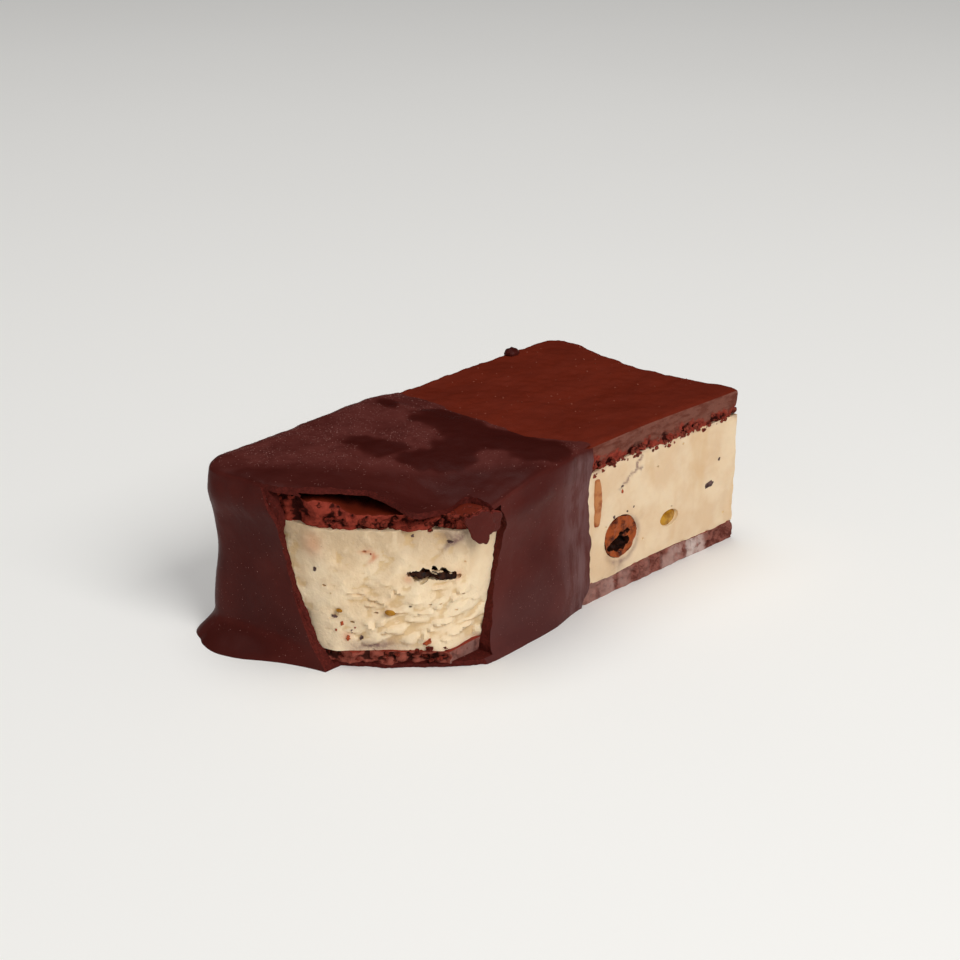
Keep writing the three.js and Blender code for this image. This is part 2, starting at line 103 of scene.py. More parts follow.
class Bench:
    """Adds primitives and shapes them with operators and applied modifiers."""

    @staticmethod
    def clear() -> None:
        """Goes to object mode with nothing selected."""
        if bpy.context.mode != "OBJECT":
            bpy.ops.object.mode_set(mode="OBJECT")
        bpy.ops.object.select_all(action="DESELECT")

    @staticmethod
    def take(obj: Object) -> None:
        """Makes obj the only selected object and the active one.

        Args:
            obj: The object.
        """
        Bench.clear()
        obj.select_set(True)
        bpy.context.view_layer.objects.active = obj

    @staticmethod
    def settle(name: str) -> Object:
        """Names the body that was just added, and moves its place and size into its mesh.

        Args:
            name: The name.

        Returns:
            The body.
        """
        obj = bpy.context.active_object
        obj.name = name
        Bench.take(obj)
        bpy.ops.object.transform_apply(location=True, rotation=True, scale=True)
        return obj

    @staticmethod
    def cube(name: str, low: Row, high: Row) -> Object:
        """Adds a box between two corners given in millimetres.

        Args:
            name: The name of the box.
            low: Its lowest corner.
            high: Its highest corner.

        Returns:
            The box.
        """
        Bench.clear()
        low_corner, high_corner = Vector(low) * MM, Vector(high) * MM
        bpy.ops.mesh.primitive_cube_add(
            size=1, location=(low_corner + high_corner) / 2, scale=high_corner - low_corner
        )
        return Bench.settle(name)

    @staticmethod
    def ball(name: str, centre: Row, radii: Row, detail: int) -> Object:
        """Adds a round body with three radii, all in millimetres.

        Args:
            name: The name of the body.
            centre: Its middle.
            radii: Its radii along the axes.
            detail: How often its faces are divided.

        Returns:
            The body.
        """
        Bench.clear()
        bpy.ops.mesh.primitive_ico_sphere_add(
            subdivisions=detail, radius=1, location=Vector(centre) * MM, scale=Vector(radii) * MM
        )
        return Bench.settle(name)

    @staticmethod
    def points(obj: Object) -> Array:
        """Returns the mesh's corners in millimetres, one row each.

        Args:
            obj: The object.

        Returns:
            The corners.
        """
        flat = np.empty(len(obj.data.vertices) * 3)
        obj.data.vertices.foreach_get("co", flat)
        return flat.reshape(-1, 3) / MM

    @staticmethod
    def place_points(obj: Object, points: Array) -> None:
        """Moves the mesh's corners to places given in millimetres."""
        obj.data.vertices.foreach_set("co", (points * MM).ravel())
        obj.data.update()

    @staticmethod
    def select(obj: Object, verts: Array, edges: Array, faces: Array) -> None:
        """Sets which corners, edges and faces are selected.

        Args:
            obj: The object.
            verts: Flags for its corners.
            edges: Flags for its edges.
            faces: Flags for its faces.
        """
        mesh = obj.data
        mesh.vertices.foreach_set("select", verts.astype(bool))
        mesh.edges.foreach_set("select", edges.astype(bool))
        mesh.polygons.foreach_set("select", faces.astype(bool))

    @staticmethod
    def pick_edges(obj: Object, test: Test) -> int:
        """Selects the edges that pass a test on their middles and directions.

        Args:
            obj: The object whose edges are looked at.
            test: Takes the middles in millimetres and the unit directions, and returns which to take.

        Returns:
            How many edges were selected.
        """
        Bench.take(obj)
        mesh, points = obj.data, Bench.points(obj)
        ends = np.empty(len(mesh.edges) * 2, dtype=int)
        mesh.edges.foreach_get("vertices", ends)
        start, stop = points[ends[0::2]], points[ends[1::2]]
        way = stop - start
        way /= np.maximum(np.linalg.norm(way, axis=1), 1e-12)[:, None]
        chosen = test((start + stop) / 2, way)
        bpy.context.tool_settings.mesh_select_mode = (False, True, False)
        Bench.select(obj, np.zeros(len(points)), chosen, np.zeros(len(mesh.polygons)))
        return int(chosen.sum())

    @staticmethod
    def pick_faces(obj: Object, test: Test) -> Array:
        """Selects the faces that pass a test on their middles and normals.

        Args:
            obj: The object whose faces are looked at.
            test: Takes the middles in millimetres and the unit normals, and returns which to take.

        Returns:
            Which faces were selected.
        """
        Bench.take(obj)
        mesh = obj.data
        middles, normals = np.empty(len(mesh.polygons) * 3), np.empty(len(mesh.polygons) * 3)
        mesh.polygons.foreach_get("center", middles)
        mesh.polygons.foreach_get("normal", normals)
        chosen = test(middles.reshape(-1, 3) / MM, normals.reshape(-1, 3))
        bpy.context.tool_settings.mesh_select_mode = (False, False, True)
        Bench.select(obj, np.zeros(len(mesh.vertices)), np.zeros(len(mesh.edges)), chosen)
        return chosen

    @staticmethod
    def edit(operator: Callable[..., set], **settings: object) -> None:
        """Runs one edit-mode operator on what is selected on the active object.

        Args:
            operator: The operator to run.
        """
        bpy.ops.object.mode_set(mode="EDIT")
        operator(**settings)
        bpy.ops.object.mode_set(mode="OBJECT")

    @staticmethod
    def round_edges(obj: Object, radius: float, segments: int, test: Test | None = None) -> None:
        """Rounds off the edges that pass a test, or all edges.

        Args:
            obj: The object whose edges are rounded.
            radius: The radius, in millimetres.
            segments: How many strips of faces make the round.
            test: Takes the edges' middles and directions, and returns which to round.
        """
        Bench.pick_edges(obj, test or (lambda middles, _: np.ones(len(middles), dtype=bool)))
        settings = {"segments": segments, "affect": "EDGES", "clamp_overlap": False}
        Bench.edit(bpy.ops.mesh.bevel, offset=radius * MM, **settings)

    @staticmethod
    def divide(obj: Object, step: float, *axes: Axis) -> None:
        """Divides every edge that runs along an axis, so that steps are about as long as asked.

        Args:
            obj: A boxy object whose long edges follow the axes.
            step: The wanted distance between divisions, in millimetres.
            axes: The axes along which edges are divided, in turn.
        """
        for place in (axis.value for axis in axes):
            span = np.ptp(Bench.points(obj)[:, place])
            if Bench.pick_edges(obj, lambda _, way: np.abs(way[:, place]) > 0.999):
                Bench.edit(bpy.ops.mesh.subdivide, number_cuts=max(1, round(span / step) - 1))

    @staticmethod
    def refine(obj: Object, cuts: int, test: Test) -> None:
        """Divides the faces that pass a test into finer ones."""
        if Bench.pick_faces(obj, test).any():
            Bench.edit(bpy.ops.mesh.subdivide, number_cuts=cuts)

    @staticmethod
    def warp(obj: Object, bend: Callable[[Array], Array]) -> Object:
        """Moves every corner by a function from places to places, in millimetres."""
        Bench.place_points(obj, bend(Bench.points(obj)))
        return obj

    @staticmethod
    def place(obj: Object, turn: Matrix, spot: Row) -> None:
        """Turns the mesh about the origin and moves it to a spot, in millimetres."""
        Bench.warp(obj, lambda points: points @ np.array(turn).T + np.array(spot))

    @staticmethod
    def group(obj: Object, name: str, weights: Array) -> str:
        """Stores weights between 0 and 1, rounded to a few levels, as a vertex group.

        Args:
            obj: The object that gets the group.
            name: The group's name.
            weights: A weight for every corner.

        Returns:
            The group's name.
        """
        made = obj.vertex_groups.new(name=name)
        rounded = np.rint(np.clip(weights, 0, 1) * WEIGHT_LEVELS).astype(int)
        for level in range(1, WEIGHT_LEVELS + 1):
            members = np.flatnonzero(rounded == level)
            if len(members):
                made.add(members.tolist(), level / WEIGHT_LEVELS, "REPLACE")
        return made.name

    @staticmethod
    def apply(obj: Object, kind: str, **settings: object) -> None:
        """Adds one modifier with its settings and applies it.

        Args:
            obj: The object that is changed.
            kind: The modifier's type.
            settings: The modifier's settings.
        """
        Bench.take(obj)
        modifier = obj.modifiers.new(kind.lower(), kind)
        for name, value in settings.items():
            setattr(modifier, name, value)
        bpy.ops.object.modifier_apply(modifier=modifier.name)

    @staticmethod
    def soften(obj: Object) -> None:
        """Rounds the whole mesh by one level of subdivision."""
        Bench.apply(obj, "SUBSURF", levels=1, render_levels=1)

    @staticmethod
    def roughen(
        obj: Object,
        grain: float,
        depth: float,
        group: str = "",
        direction: str = "NORMAL",
        relief: Relief = Relief.SWELLS,
    ) -> None:
        """Gives the surface an uneven relief.

        Args:
            obj: The object to roughen.
            grain: The size of its lumps, in millimetres.
            depth: The distance from its lowest to its highest point, in millimetres.
            group: The vertex group that limits it, or nothing.
            direction: The way in which the surface moves.
            relief: The kind of relief.
        """
        texture = bpy.data.textures.new(f"{obj.name}_relief", "CLOUDS")
        texture.noise_scale = grain * MM
        texture.noise_depth = 3
        texture.noise_type = relief.value
        Bench.apply(
            obj,
            "DISPLACE",
            texture=texture,
            strength=depth * MM,
            mid_level=0.5,
            direction=direction,
            vertex_group=group,
            texture_coords="LOCAL",
        )
        bpy.data.textures.remove(texture)

    @staticmethod
    def mark(obj: Object, name: str, values: Array) -> None:
        """Stores one number at every corner, under a name that finishes read."""
        obj.data.attributes.new(name, "FLOAT", "POINT").data.foreach_set("value", values)

    @staticmethod
    def cavities(obj: Object, rounds: int, full: float) -> Array:
        """Tells how deep each corner lies in a small hollow.

        Args:
            obj: The object that is looked at.
            rounds: How many times corners are averaged with their neighbours: more finds wider hollows.
            full: The depth that counts as 1, in millimetres.

        Returns:
            A number for every corner, from -1 on a ridge to 1 in a hollow.
        """
        mesh, points = obj.data, Bench.points(obj)
        ends = np.empty(len(mesh.edges) * 2, dtype=int)
        mesh.edges.foreach_get("vertices", ends)
        here, there = np.concatenate([ends[0::2], ends[1::2]]), np.concatenate([ends[1::2], ends[0::2]])
        count = np.maximum(np.bincount(here, minlength=len(points)), 1)
        evened = points
        for _ in range(rounds):
            totals = [np.bincount(here, evened[there, axis.value], len(points)) for axis in Axis]
            evened = np.column_stack(totals) / count[:, None]
        normals = np.empty(len(points) * 3)
        mesh.vertices.foreach_get("normal", normals)
        return np.clip(((evened - points) * normals.reshape(-1, 3)).sum(axis=1) / full, -1, 1)

    @staticmethod
    def cut(obj: Object, cutter: Object, how: Cut = Cut.TAKE_AWAY) -> None:
        """Cuts obj with a cutter, whose materials the new faces take over, and removes the cutter.

        Args:
            obj: The object that is cut.
            cutter: The closed body that cuts it.
            how: What the cut leaves.
        """
        Bench.apply(
            obj, "BOOLEAN", operation=how.value, object=cutter, solver="MANIFOLD", material_mode="TRANSFER"
        )
        mesh = cutter.data
        bpy.data.objects.remove(cutter)
        bpy.data.meshes.remove(mesh)

    @staticmethod
    def join(name: str, parts: Sequence[Object]) -> Object:
        """Joins several objects into one, which takes the name.

        Args:
            name: The name of the result.
            parts: The objects that are joined.

        Returns:
            The joined object.
        """
        Bench.clear()
        for part in parts:
            part.select_set(True)
        bpy.context.view_layer.objects.active = parts[0]
        bpy.ops.object.join()
        joined = bpy.context.active_object
        joined.name = name
        return joined

    @staticmethod
    def smooth(obj: Object, angle: float) -> None:
        """Shades the surface smooth, apart from edges sharper than the angle in degrees."""
        Bench.take(obj)
        bpy.ops.object.shade_smooth_by_angle(angle=math.radians(angle))


def ramp(value: Array, low: float, high: float) -> Array:
    """Rises smoothly from 0 at low to 1 at high."""
    share = np.clip((value - low) / (high - low), 0, 1)
    return share * share * (3 - 2 * share)


def bump(value: Array, middle: float, spread: float) -> Array:
    """A bell-shaped bump, 1 at its middle."""
    return np.exp(-(((value - middle) / spread) ** 2))


def swell(x: Array, y: Array, wavelength: float, phase: float = 0.0) -> Array:
    """A shallow uneven swell, between about -1 and 1.

    Args:
        x: First coordinates.
        y: Second coordinates.
        wavelength: The distance between its crests.
        phase: A shift that sets it apart from others.

    Returns:
        Its height at every place.
    """
    w = 2 * math.pi / wavelength
    first = np.sin(w * x + 0.7 * w * y + phase)
    second = np.sin(0.6 * w * x - 1.1 * w * y + 2.3 * phase + 1)
    return 0.55 * first + 0.45 * second


def distance_to_line(
    x: Array, y: Array, start: Row, stop: Row
) -> Array:
    """How far places are from a straight stroke between two points.

    Args:
        x: First coordinates of the places.
        y: Second coordinates of the places.
        start: The stroke's first point.
        stop: The stroke's last point.

    Returns:
        The distances.
    """
    run = np.subtract(stop, start)
    share = np.clip(((x - start[0]) * run[0] + (y - start[1]) * run[1]) / (run @ run), 0, 1)
    return np.hypot(x - start[0] - share * run[0], y - start[1] - share * run[1])


# --- The form that all the layers share ---


@dataclass(frozen=True)
class BarForm:
    """The bar's bent plan, the heights of its layers and the bitten face, in millimetres."""

    end: float
    half_width: float
    length: float = 108.0
    height: float = 36.0
    taper: float = 5.4
    taper_from: float = 12.0
    taper_run: float = 60.0
    skew: float = 0.115
    skew_y: float = -6.9
    skew_x: Pair = (20.0, 48.0)
    hollow: float = 4.0
    hollow_y: float = -2.5
    hollow_half: float = 20.5
    hollow_x: Pair = (42.0, 60.0)
    end_corner: float = 4.5
    far_corner: float = 4.0
    top_layer: float = 6.0
    top_sag: float = 1.6
    bottom_layer: float = 4.4
    bottom_sag: float = 0.8
    dent_depth: float = 4.9
    dent_radius: float = 15.0
    dent_at: Pair = (-29.0, -25.0)
    bite_angle: float = math.radians(136.9)
    bite_reach: float = 41.3
    bite_lean: float = 0.09
    bite_crown: float = 0.006
    bite_middle: float = 9.0
    bite_start: Pair = (8.0, 32.0)
    corner_wear: float = 5.6
    slits: Rows = ((22.5, 8.0, 3.2), (36.0, 3.4, 2.6))
    dip_line_x: float = 4.6
    dip_right: float = 5.4
    dip_left: float = 1.8
    dip_foot: float = 2.6
    nut_at: Pair = (20.4, 12.5)
    # Where the pit with the painted amber glow lies.
    pit_glow_at: Pair = (36.9, 11.9)
    shard_at: Pair = (8.0, 19.5)
    shard_tilt: float = math.radians(-7)

    @classmethod
    def from_frame(cls) -> "BarForm":
        """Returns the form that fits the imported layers."""
        low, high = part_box("top_biscuit")
        return cls(end=high[0] / MM, half_width=(high[1] - low[1]) / 2 / MM)

    @property
    def start(self) -> float:
        """Where the straight bar begins along X."""
        return self.end - self.length

    @property
    def along(self) -> Array:
        """The level direction that runs along the bite."""
        return np.array([math.cos(self.bite_angle), math.sin(self.bite_angle)])

    @property
    def out(self) -> Array:
        """The level direction that points out of the bite."""
        return np.array([-math.sin(self.bite_angle), math.cos(self.bite_angle)])

    def bend(self, points: Array) -> Array:
        """Bends the straight bar's plan into the tapered, skewed and hollowed one.

        Args:
            points: Places on the straight bar, one row each.

        Returns:
            The bent places, with their heights unchanged.
        """
        p = points.copy()
        self.round_corner(p, self.start, -1, 1, self.end_corner)
        self.round_corner(p, self.start, -1, -1, self.end_corner)
        self.round_corner(p, self.end, 1, 1, self.far_corner)
        dipped = np.clip((self.taper_from - p[:, 0]) / self.taper_run, 0, 1)
        near_end = ramp(-p[:, 0], *self.skew_x)
        near_cut = ramp(p[:, 0], *self.hollow_x)
        off_middle = np.clip(np.abs(p[:, 1] - self.hollow_y) / self.hollow_half, 0, 1)
        p[:, 0] -= self.skew * (p[:, 1] - self.skew_y) * near_end
        p[:, 0] -= self.hollow * near_cut * (1 - off_middle**2)
        p[:, 1] -= self.taper * dipped * (p[:, 1] + self.half_width) / (2 * self.half_width)
        return p

    def off_bite(self, x: Array, y: Array) -> tuple[Array, Array]:
        """How far places lie along the bite, and how far out towards it."""
        return self.along[0] * x + self.along[1] * y, self.out[0] * x + self.out[1] * y

    def round_corner(self, p: Array, end_x: float, side_x: int, side_y: int, radius: float) -> None:
        """Rounds off one upright corner of the plan, in place.

        Args:
            p: Places on the straight bar.
            end_x: Where the corner's end of the bar lies along X.
            side_x: 1 or -1, the way in which that end faces.
            side_y: 1 or -1, the side on which the corner lies.
            radius: The corner's radius.
        """
        in_x = side_x * (p[:, 0] - end_x) + radius
        in_y = side_y * p[:, 1] - (self.half_width - radius)
        corner = (in_x > 0) & (in_y > 0)
        pull = 1 - np.maximum(in_x, in_y) / np.maximum(np.hypot(in_x, in_y), 1e-9)
        p[:, 0] -= np.where(corner, side_x * in_x * pull, 0)
        p[:, 1] -= np.where(corner, side_y * in_y * pull, 0)

    def dent(self, x: Array, y: Array) -> Array:
        """How far the top is pressed down beside the bite."""
        distance = np.hypot(x - self.dent_at[0], y - self.dent_at[1])
        return self.dent_depth * bump(distance, 0, self.dent_radius)

    def near_bite(self, x: Array, y: Array) -> Array:
        """How near a place is to the bitten corner, from 0 to 1."""
        return ramp(self.off_bite(x, y)[1], *self.bite_start)

    def top(self, x: Array, y: Array) -> Array:
        """The height of the upper biscuit's top."""
        return self.height - self.dent(x, y) + 0.25 * swell(x, y, 47)

    def filling_top(self, x: Array, y: Array) -> Array:
        """The height at which the ice cream meets the upper biscuit."""
        sunk = self.top_layer + self.top_sag * self.near_bite(x, y)
        return self.height - sunk + 0.3 * swell(x, y, 26, 1)

    def filling_bottom(self, x: Array, y: Array) -> Array:
        """The height at which the ice cream meets the lower biscuit."""
        return self.bottom_layer - self.bottom_sag * self.near_bite(x, y) + 0.3 * swell(x, y, 29, 4)

    def slit(self, along: Array) -> Array:
        """How far the upper biscuit sank away from the shell beside the bite."""
        return sum(depth * bump(along, place, half) for place, half, depth in self.slits)

    def sunk_top(self, x: Array, y: Array) -> Array:
        """The upper biscuit's top, sunk away from the shell beside the bite."""
        along, out = self.off_bite(x, y)
        return self.top(x, y) - self.slit(along) * ramp(out, 27, 33)

    def dip_line(self, y: Array, z: Array) -> Array:
        """Where the chocolate ends along X.

        Args:
            y: Places along Y.
            z: Their heights.

        Returns:
            The line's places along X.
        """
        right = self.dip_right * ramp(-y, 10, 27)
        left = self.dip_left * ramp(y, 14, 27)
        foot = self.dip_foot * (1 - ramp(z, 0, 5))
        return self.dip_line_x + right + left - foot + 0.9 * swell(y, z, 21, 2)

    def bite_face(self, along: Array, z: Array) -> Array:
        """How far out the bitten face stands."""
        crown = self.bite_crown * (along - self.bite_middle) ** 2
        return self.bite_reach - self.bite_lean * z - crown

    def worn_corner(self, along: Array, z: Array) -> Array:
        """How far the ice cream's right corner is rounded off behind the bitten face."""
        return self.corner_wear * (1 - ramp(z, 6, 30)) * ramp(-along, -6, 2.5)

    def on_bite(self, along: float, z: float, sunk: float = 0.0) -> Vector:
        """A place on the bitten face, in millimetres, sunk in by a distance.

        Args:
            along: The distance along the bite.
            z: The height.
            sunk: How deep it lies behind the face.

        Returns:
            The place.
        """
        level, place = np.array(z), np.array(along)
        out = float(self.bite_face(place, level) - self.worn_corner(place, level)) - sunk
        x, y = self.along * along + self.out * out
        return Vector((x, y, z))

    @property
    def shard_turn(self) -> Matrix:
        """The turn that lays the shard along the bitten face."""
        return Matrix.Rotation(self.bite_angle, 3, "Z") @ Matrix.Rotation(self.shard_tilt, 3, "Y")

    def height_at(self, surface: Surface, x: float, y: float) -> float:
        """The height of one of the bar's surfaces at a single place."""
        return float(surface(np.array(x), np.array(y)))

    def layer(
        self,
        name: str,
        lower: Surface,
        upper: Surface,
        thick: float,
        step: float,
        rise: float,
        soft: float = 0.0,
    ) -> Object:
        """Makes one layer of the bar from a box.

        Args:
            name: The object's name.
            lower: The height of its underside over the bent plan.
            upper: The height of its top over the bent plan.
            thick: About how thick it is.
            step: The distance between divisions along X and Y.
            rise: The distance between divisions along Z.
            soft: The radius of its upper edges.

        Returns:
            The layer, bent and between its two heights.
        """
        low, high = (self.start, -self.half_width, 0.0), (self.end, self.half_width, thick)
        obj = Bench.cube(name, low, high)
        if soft:
            Bench.round_edges(obj, soft, 3, lambda middles, _: middles[:, 2] > thick - 0.1)
        Bench.divide(obj, step, Axis.X, Axis.Y)
        Bench.divide(obj, rise, Axis.Z)

        def shape(points: Array) -> Array:
            """Bends the plan and sets the heights.

            Args:
                points: Places on the plain box.

            Returns:
                The shaped places.
            """
            share = points[:, 2] / thick
            bent = self.bend(points)
            bottom, top = lower(bent[:, 0], bent[:, 1]), upper(bent[:, 0], bent[:, 1])
            bent[:, 2] = bottom + (top - bottom) * share
            return bent

        return Bench.warp(obj, shape)


# --- Shader building ---


@dataclass(frozen=True)
class Tone:
    """A colour given as it looks, in 0 to 255 red, green and blue."""

    red: float
    green: float
    blue: float

    def linear(self) -> tuple[float, float, float, float]:
        """Returns the colour as scene-linear RGBA.

        Returns:
            The colour.
        """

        def decode(value: float) -> float:
            """Undoes the display curve of one channel."""
            share = value / 255
            return share / 12.92 if share <= 0.04045 else ((share + 0.055) / 1.055) ** 2.4

        return decode(self.red), decode(self.green), decode(self.blue), 1.0


class Graph:
    """Builds one material's node graph from object coordinates."""

    def __init__(self, name: str) -> None:
        """Starts a material with a Principled shader.

        Args:
            name: The material's name.
        """
        self.material = bpy.data.materials.new(name)
        self.material.use_nodes = True
        self.nodes = self.material.node_tree.nodes
        self.links = self.material.node_tree.links
        self.shader = self.nodes["Principled BSDF"]
        coordinates = self.nodes.new("ShaderNodeTexCoord")
        self.place = coordinates.outputs["Object"]
        self.normal = coordinates.outputs["Normal"]

    def link(self, value: object, socket: Socket) -> None:
        """Links a socket, or sets a plain value.

        Args:
            value: A socket, a tone or a number.
            socket: The input that takes it.
        """
        if isinstance(value, Socket):
            self.links.new(value, socket)
        elif isinstance(value, Tone):
            socket.default_value = value.linear()
        else:
            socket.default_value = value

    def set(self, **values: object) -> None:
        """Sets or links inputs of the Principled shader, named with underscores for spaces."""
        for name, value in values.items():
            self.link(value, self.shader.inputs[name.replace("_", " ")])

    def stretched(self, x: float, y: float, z: float) -> Socket:
        """Object coordinates scaled by three factors.

        Args:
            x: The factor along X.
            y: Along Y.
            z: Along Z.

        Returns:
            The coordinates.
        """
        node = self.nodes.new("ShaderNodeMapping")
        self.links.new(self.place, node.inputs["Vector"])
        node.inputs["Scale"].default_value = (x, y, z)
        return node.outputs["Vector"]

    def noise(
        self, size: float, detail: float, rough: float = 0.55, vector: Socket | None = None
    ) -> Socket:
        """Soft noise with lumps of a size in millimetres.

        Args:
            size: The size of the lumps.
            detail: How many finer layers it has.
            rough: How strong the finer layers are.
            vector: The places it reads, if not the plain ones.

        Returns:
            A value round 0.5.
        """
        node = self.nodes.new("ShaderNodeTexNoise")
        self.links.new(vector or self.place, node.inputs["Vector"])
        node.inputs["Scale"].default_value = 1 / (size * MM)
        node.inputs["Detail"].default_value = detail
        node.inputs["Roughness"].default_value = rough
        return node.outputs["Fac"]

    def cells(self, size: float) -> Socket:
        """Distance to the nearest of many scattered points, with cells of a size in millimetres.

        Args:
            size: The size of a cell.

        Returns:
            The distance.
        """
        node = self.nodes.new("ShaderNodeTexVoronoi")
        self.links.new(self.place, node.inputs["Vector"])
        node.inputs["Scale"].default_value = 1 / (size * MM)
        return node.outputs["Distance"]

    def part(self, axis: Axis, vector: Socket | None = None) -> Socket:
        """One coordinate of the place, in metres, or of another vector.

        Args:
            axis: Its axis.
            vector: The vector, if not the place.

        Returns:
            The coordinate.
        """
        node = self.nodes.new("ShaderNodeSeparateXYZ")
        self.links.new(vector or self.place, node.inputs["Vector"])
        return node.outputs[axis.value]

    def mark(self, name: str) -> Socket:
        """The number that is stored under a name at every corner.

        Args:
            name: The name.

        Returns:
            The number.
        """
        node = self.nodes.new("ShaderNodeAttribute")
        node.attribute_name = name
        return node.outputs["Fac"]

    def reckon(self, operation: str, first: object, second: object) -> Socket:
        """A Math node's result.

        Args:
            operation: What is worked out.
            first: The first value.
            second: The second value.

        Returns:
            The result.
        """
        node = self.nodes.new("ShaderNodeMath")
        node.operation = operation
        self.link(first, node.inputs[0])
        self.link(second, node.inputs[1])
        return node.outputs["Value"]

    def times(self, first: object, second: object) -> Socket:
        """The product of two values."""
        return self.reckon("MULTIPLY", first, second)

    def plus(self, first: object, second: object) -> Socket:
        """The sum of two values."""
        return self.reckon("ADD", first, second)

    def span(self, value: Socket, low: float, high: float, start: float = 0.0, stop: float = 1.0) -> Socket:
        """Maps low..high smoothly to start..stop, and holds outside it.

        Args:
            value: What is mapped.
            low: Where it starts.
            high: Where it stops.
            start: The result at low.
            stop: The result at high.

        Returns:
            The result.
        """
        node = self.nodes.new("ShaderNodeMapRange")
        node.interpolation_type = "SMOOTHSTEP"
        for name, number in zip(("From Min", "From Max", "To Min", "To Max"), (low, high, start, stop)):
            node.inputs[name].default_value = number
        self.links.new(value, node.inputs["Value"])
        return node.outputs["Result"]

    def blend(self, share: object, first: object, second: object) -> Socket:
        """Mixes two colours.

        Args:
            share: How much of the second shows.
            first: The first colour.
            second: The second colour.

        Returns:
            The mixed colour.
        """
        node = self.nodes.new("ShaderNodeMix")
        node.data_type = "RGBA"
        self.link(share, node.inputs["Factor"])
        self.link(first, node.inputs[6])
        self.link(second, node.inputs[7])
        return node.outputs[2]

    def bump(self, height: Socket, depth: float, under: Socket | None = None) -> Socket:
        """A bumped normal, with the height's full range worth a depth in millimetres.

        Args:
            height: The height of the surface.
            depth: The height's range, in millimetres.
            under: A normal that it is laid over.

        Returns:
            The normal.
        """
        node = self.nodes.new("ShaderNodeBump")
        node.inputs["Distance"].default_value = depth * MM
        node.inputs["Strength"].default_value = 1.0
        self.links.new(height, node.inputs["Height"])
        if under is not None:
            self.links.new(under, node.inputs["Normal"])
        return node.outputs["Normal"]


# --- Finishes ---


@dataclass(frozen=True)
class CutCream:
    """Ice cream smeared flat by a knife, or torn by a bite; the torn face carries painted shade and painted
    light.
    """

    base: Tone = Tone(221, 190, 153)
    shade: Tone = Tone(212, 174, 128)
    # pale: a paler tone of the cream, also painted light low on the bitten face and painted highlight on
    # its ridges
    pale: Tone = Tone(231, 206, 172)
    # deep: painted shade in the hollows of the bitten face
    deep: Tone = Tone(208, 170, 112)
    # soft: painted shade high on the bitten face
    soft: Tone = Tone(198, 170, 135)
    # stain: real stains and smears, and the painted shadow line round the nut
    stain_and_shadow: Tone = Tone(132, 100, 92)
    blush: Tone = Tone(206, 112, 66)
    torn: bool = False

    def material(self) -> Material:
        """Builds the frozen cream.

        Returns:
            The material.
        """
        g = Graph("torn_cream" if self.torn else "cut_cream")
        broad = g.noise(8, 3)
        fine = g.noise(0.9 if self.torn else 2.4, 6, 0.65)
        colour = g.blend(g.span(broad, 0.35, 0.65), self.base, self.pale)
        if self.torn:
            height = g.part(Axis.Z)
            # Painted light low on the bitten face and painted shade high up: paler towards the bottom,
            # darker towards the top.
            colour = g.blend(g.span(height, 16 * MM, 5 * MM, 0, 0.8), colour, self.pale)
            colour = g.blend(g.span(height, 19 * MM, 28 * MM, 0, 0.75), colour, self.soft)
            # Painted shade in the hollows of the torn relief and painted highlights on its ridges.
            colour = g.blend(g.span(g.mark("hollow"), 0.3, 1.3, 0, 0.7), colour, self.deep)
            colour = g.blend(g.span(g.mark("hollow"), -0.4, -1.4, 0, 0.5), colour, self.pale)
        else:
            stains = g.noise(12, 3, 0.5, g.stretched(1.6, 1, 0.5))
            colour = g.blend(g.span(stains, 0.52, 0.7, 0, 0.5), colour, self.shade)
        # Stains, and the painted shadow line round the nut.
        wash = g.times(g.mark("stain_and_shadow"), g.span(fine, 0.3, 0.6, 0.45, 1.0))
        colour = g.blend(wash, colour, self.stain_and_shadow)
        colour = g.blend(g.mark("blush"), colour, self.blush)
        normal = g.bump(fine, 0.16 if self.torn else 0.1)
        if self.torn:
            normal = g.bump(g.cells(0.5), 0.05, normal)
        else:
            normal = g.bump(g.noise(1.4, 4, 0.6, g.stretched(0.16, 1, 1)), 0.1, normal)
        g.set(Base_Color=colour, Roughness=g.span(fine, 0.3, 0.7, 0.36, 0.52), Normal=normal)
        g.set(Subsurface_Weight=0.1, Subsurface_Scale=1.2 * MM, Subsurface_Radius=(1.0, 0.72, 0.42))
        g.set(Specular_IOR_Level=0.25)
        return g.material


@dataclass(frozen=True)
class BakedTop:
    """The smooth baked top of a cocoa biscuit."""

    base: Tone = Tone(103, 34, 19)
    dark: Tone = Tone(95, 30, 16)
    worn: Tone = Tone(126, 54, 38)
    # pit: painted shade at the back of the slit
    pit: Tone = Tone(26, 8, 6)

    def material(self) -> Material:
        """Builds the satin baked surface, with painted shade where its corners lie under the slit.

        Returns:
            The material.
        """
        g = Graph("baked_top")
        broad = g.noise(13, 4, 0.6)
        streaks = g.noise(3.2, 4, 0.6, g.stretched(0.22, 1, 1))
        fine = g.noise(0.7, 4, 0.6)
        colour = g.blend(g.span(broad, 0.35, 0.65), self.dark, self.base)
        colour = g.blend(g.span(streaks, 0.5, 0.8, 0, 0.35), colour, self.dark)
        specks = g.span(g.cells(3.4), 0.0, 0.08, 1, 0)
        colour = g.blend(g.times(specks, 0.6), colour, self.worn)
        # Painted shade: the top under the slit is coloured near black.
        colour = g.blend(g.mark("slit_painted_shade"), colour, self.pit)
        normal = g.bump(broad, 0.5)
        normal = g.bump(fine, 0.05, normal)
        normal = g.bump(specks, 0.12, normal)
        g.set(Base_Color=colour, Roughness=g.span(streaks, 0.3, 0.7, 0.42, 0.58), Normal=normal)
        g.set(Specular_IOR_Level=0.05)
        return g.material


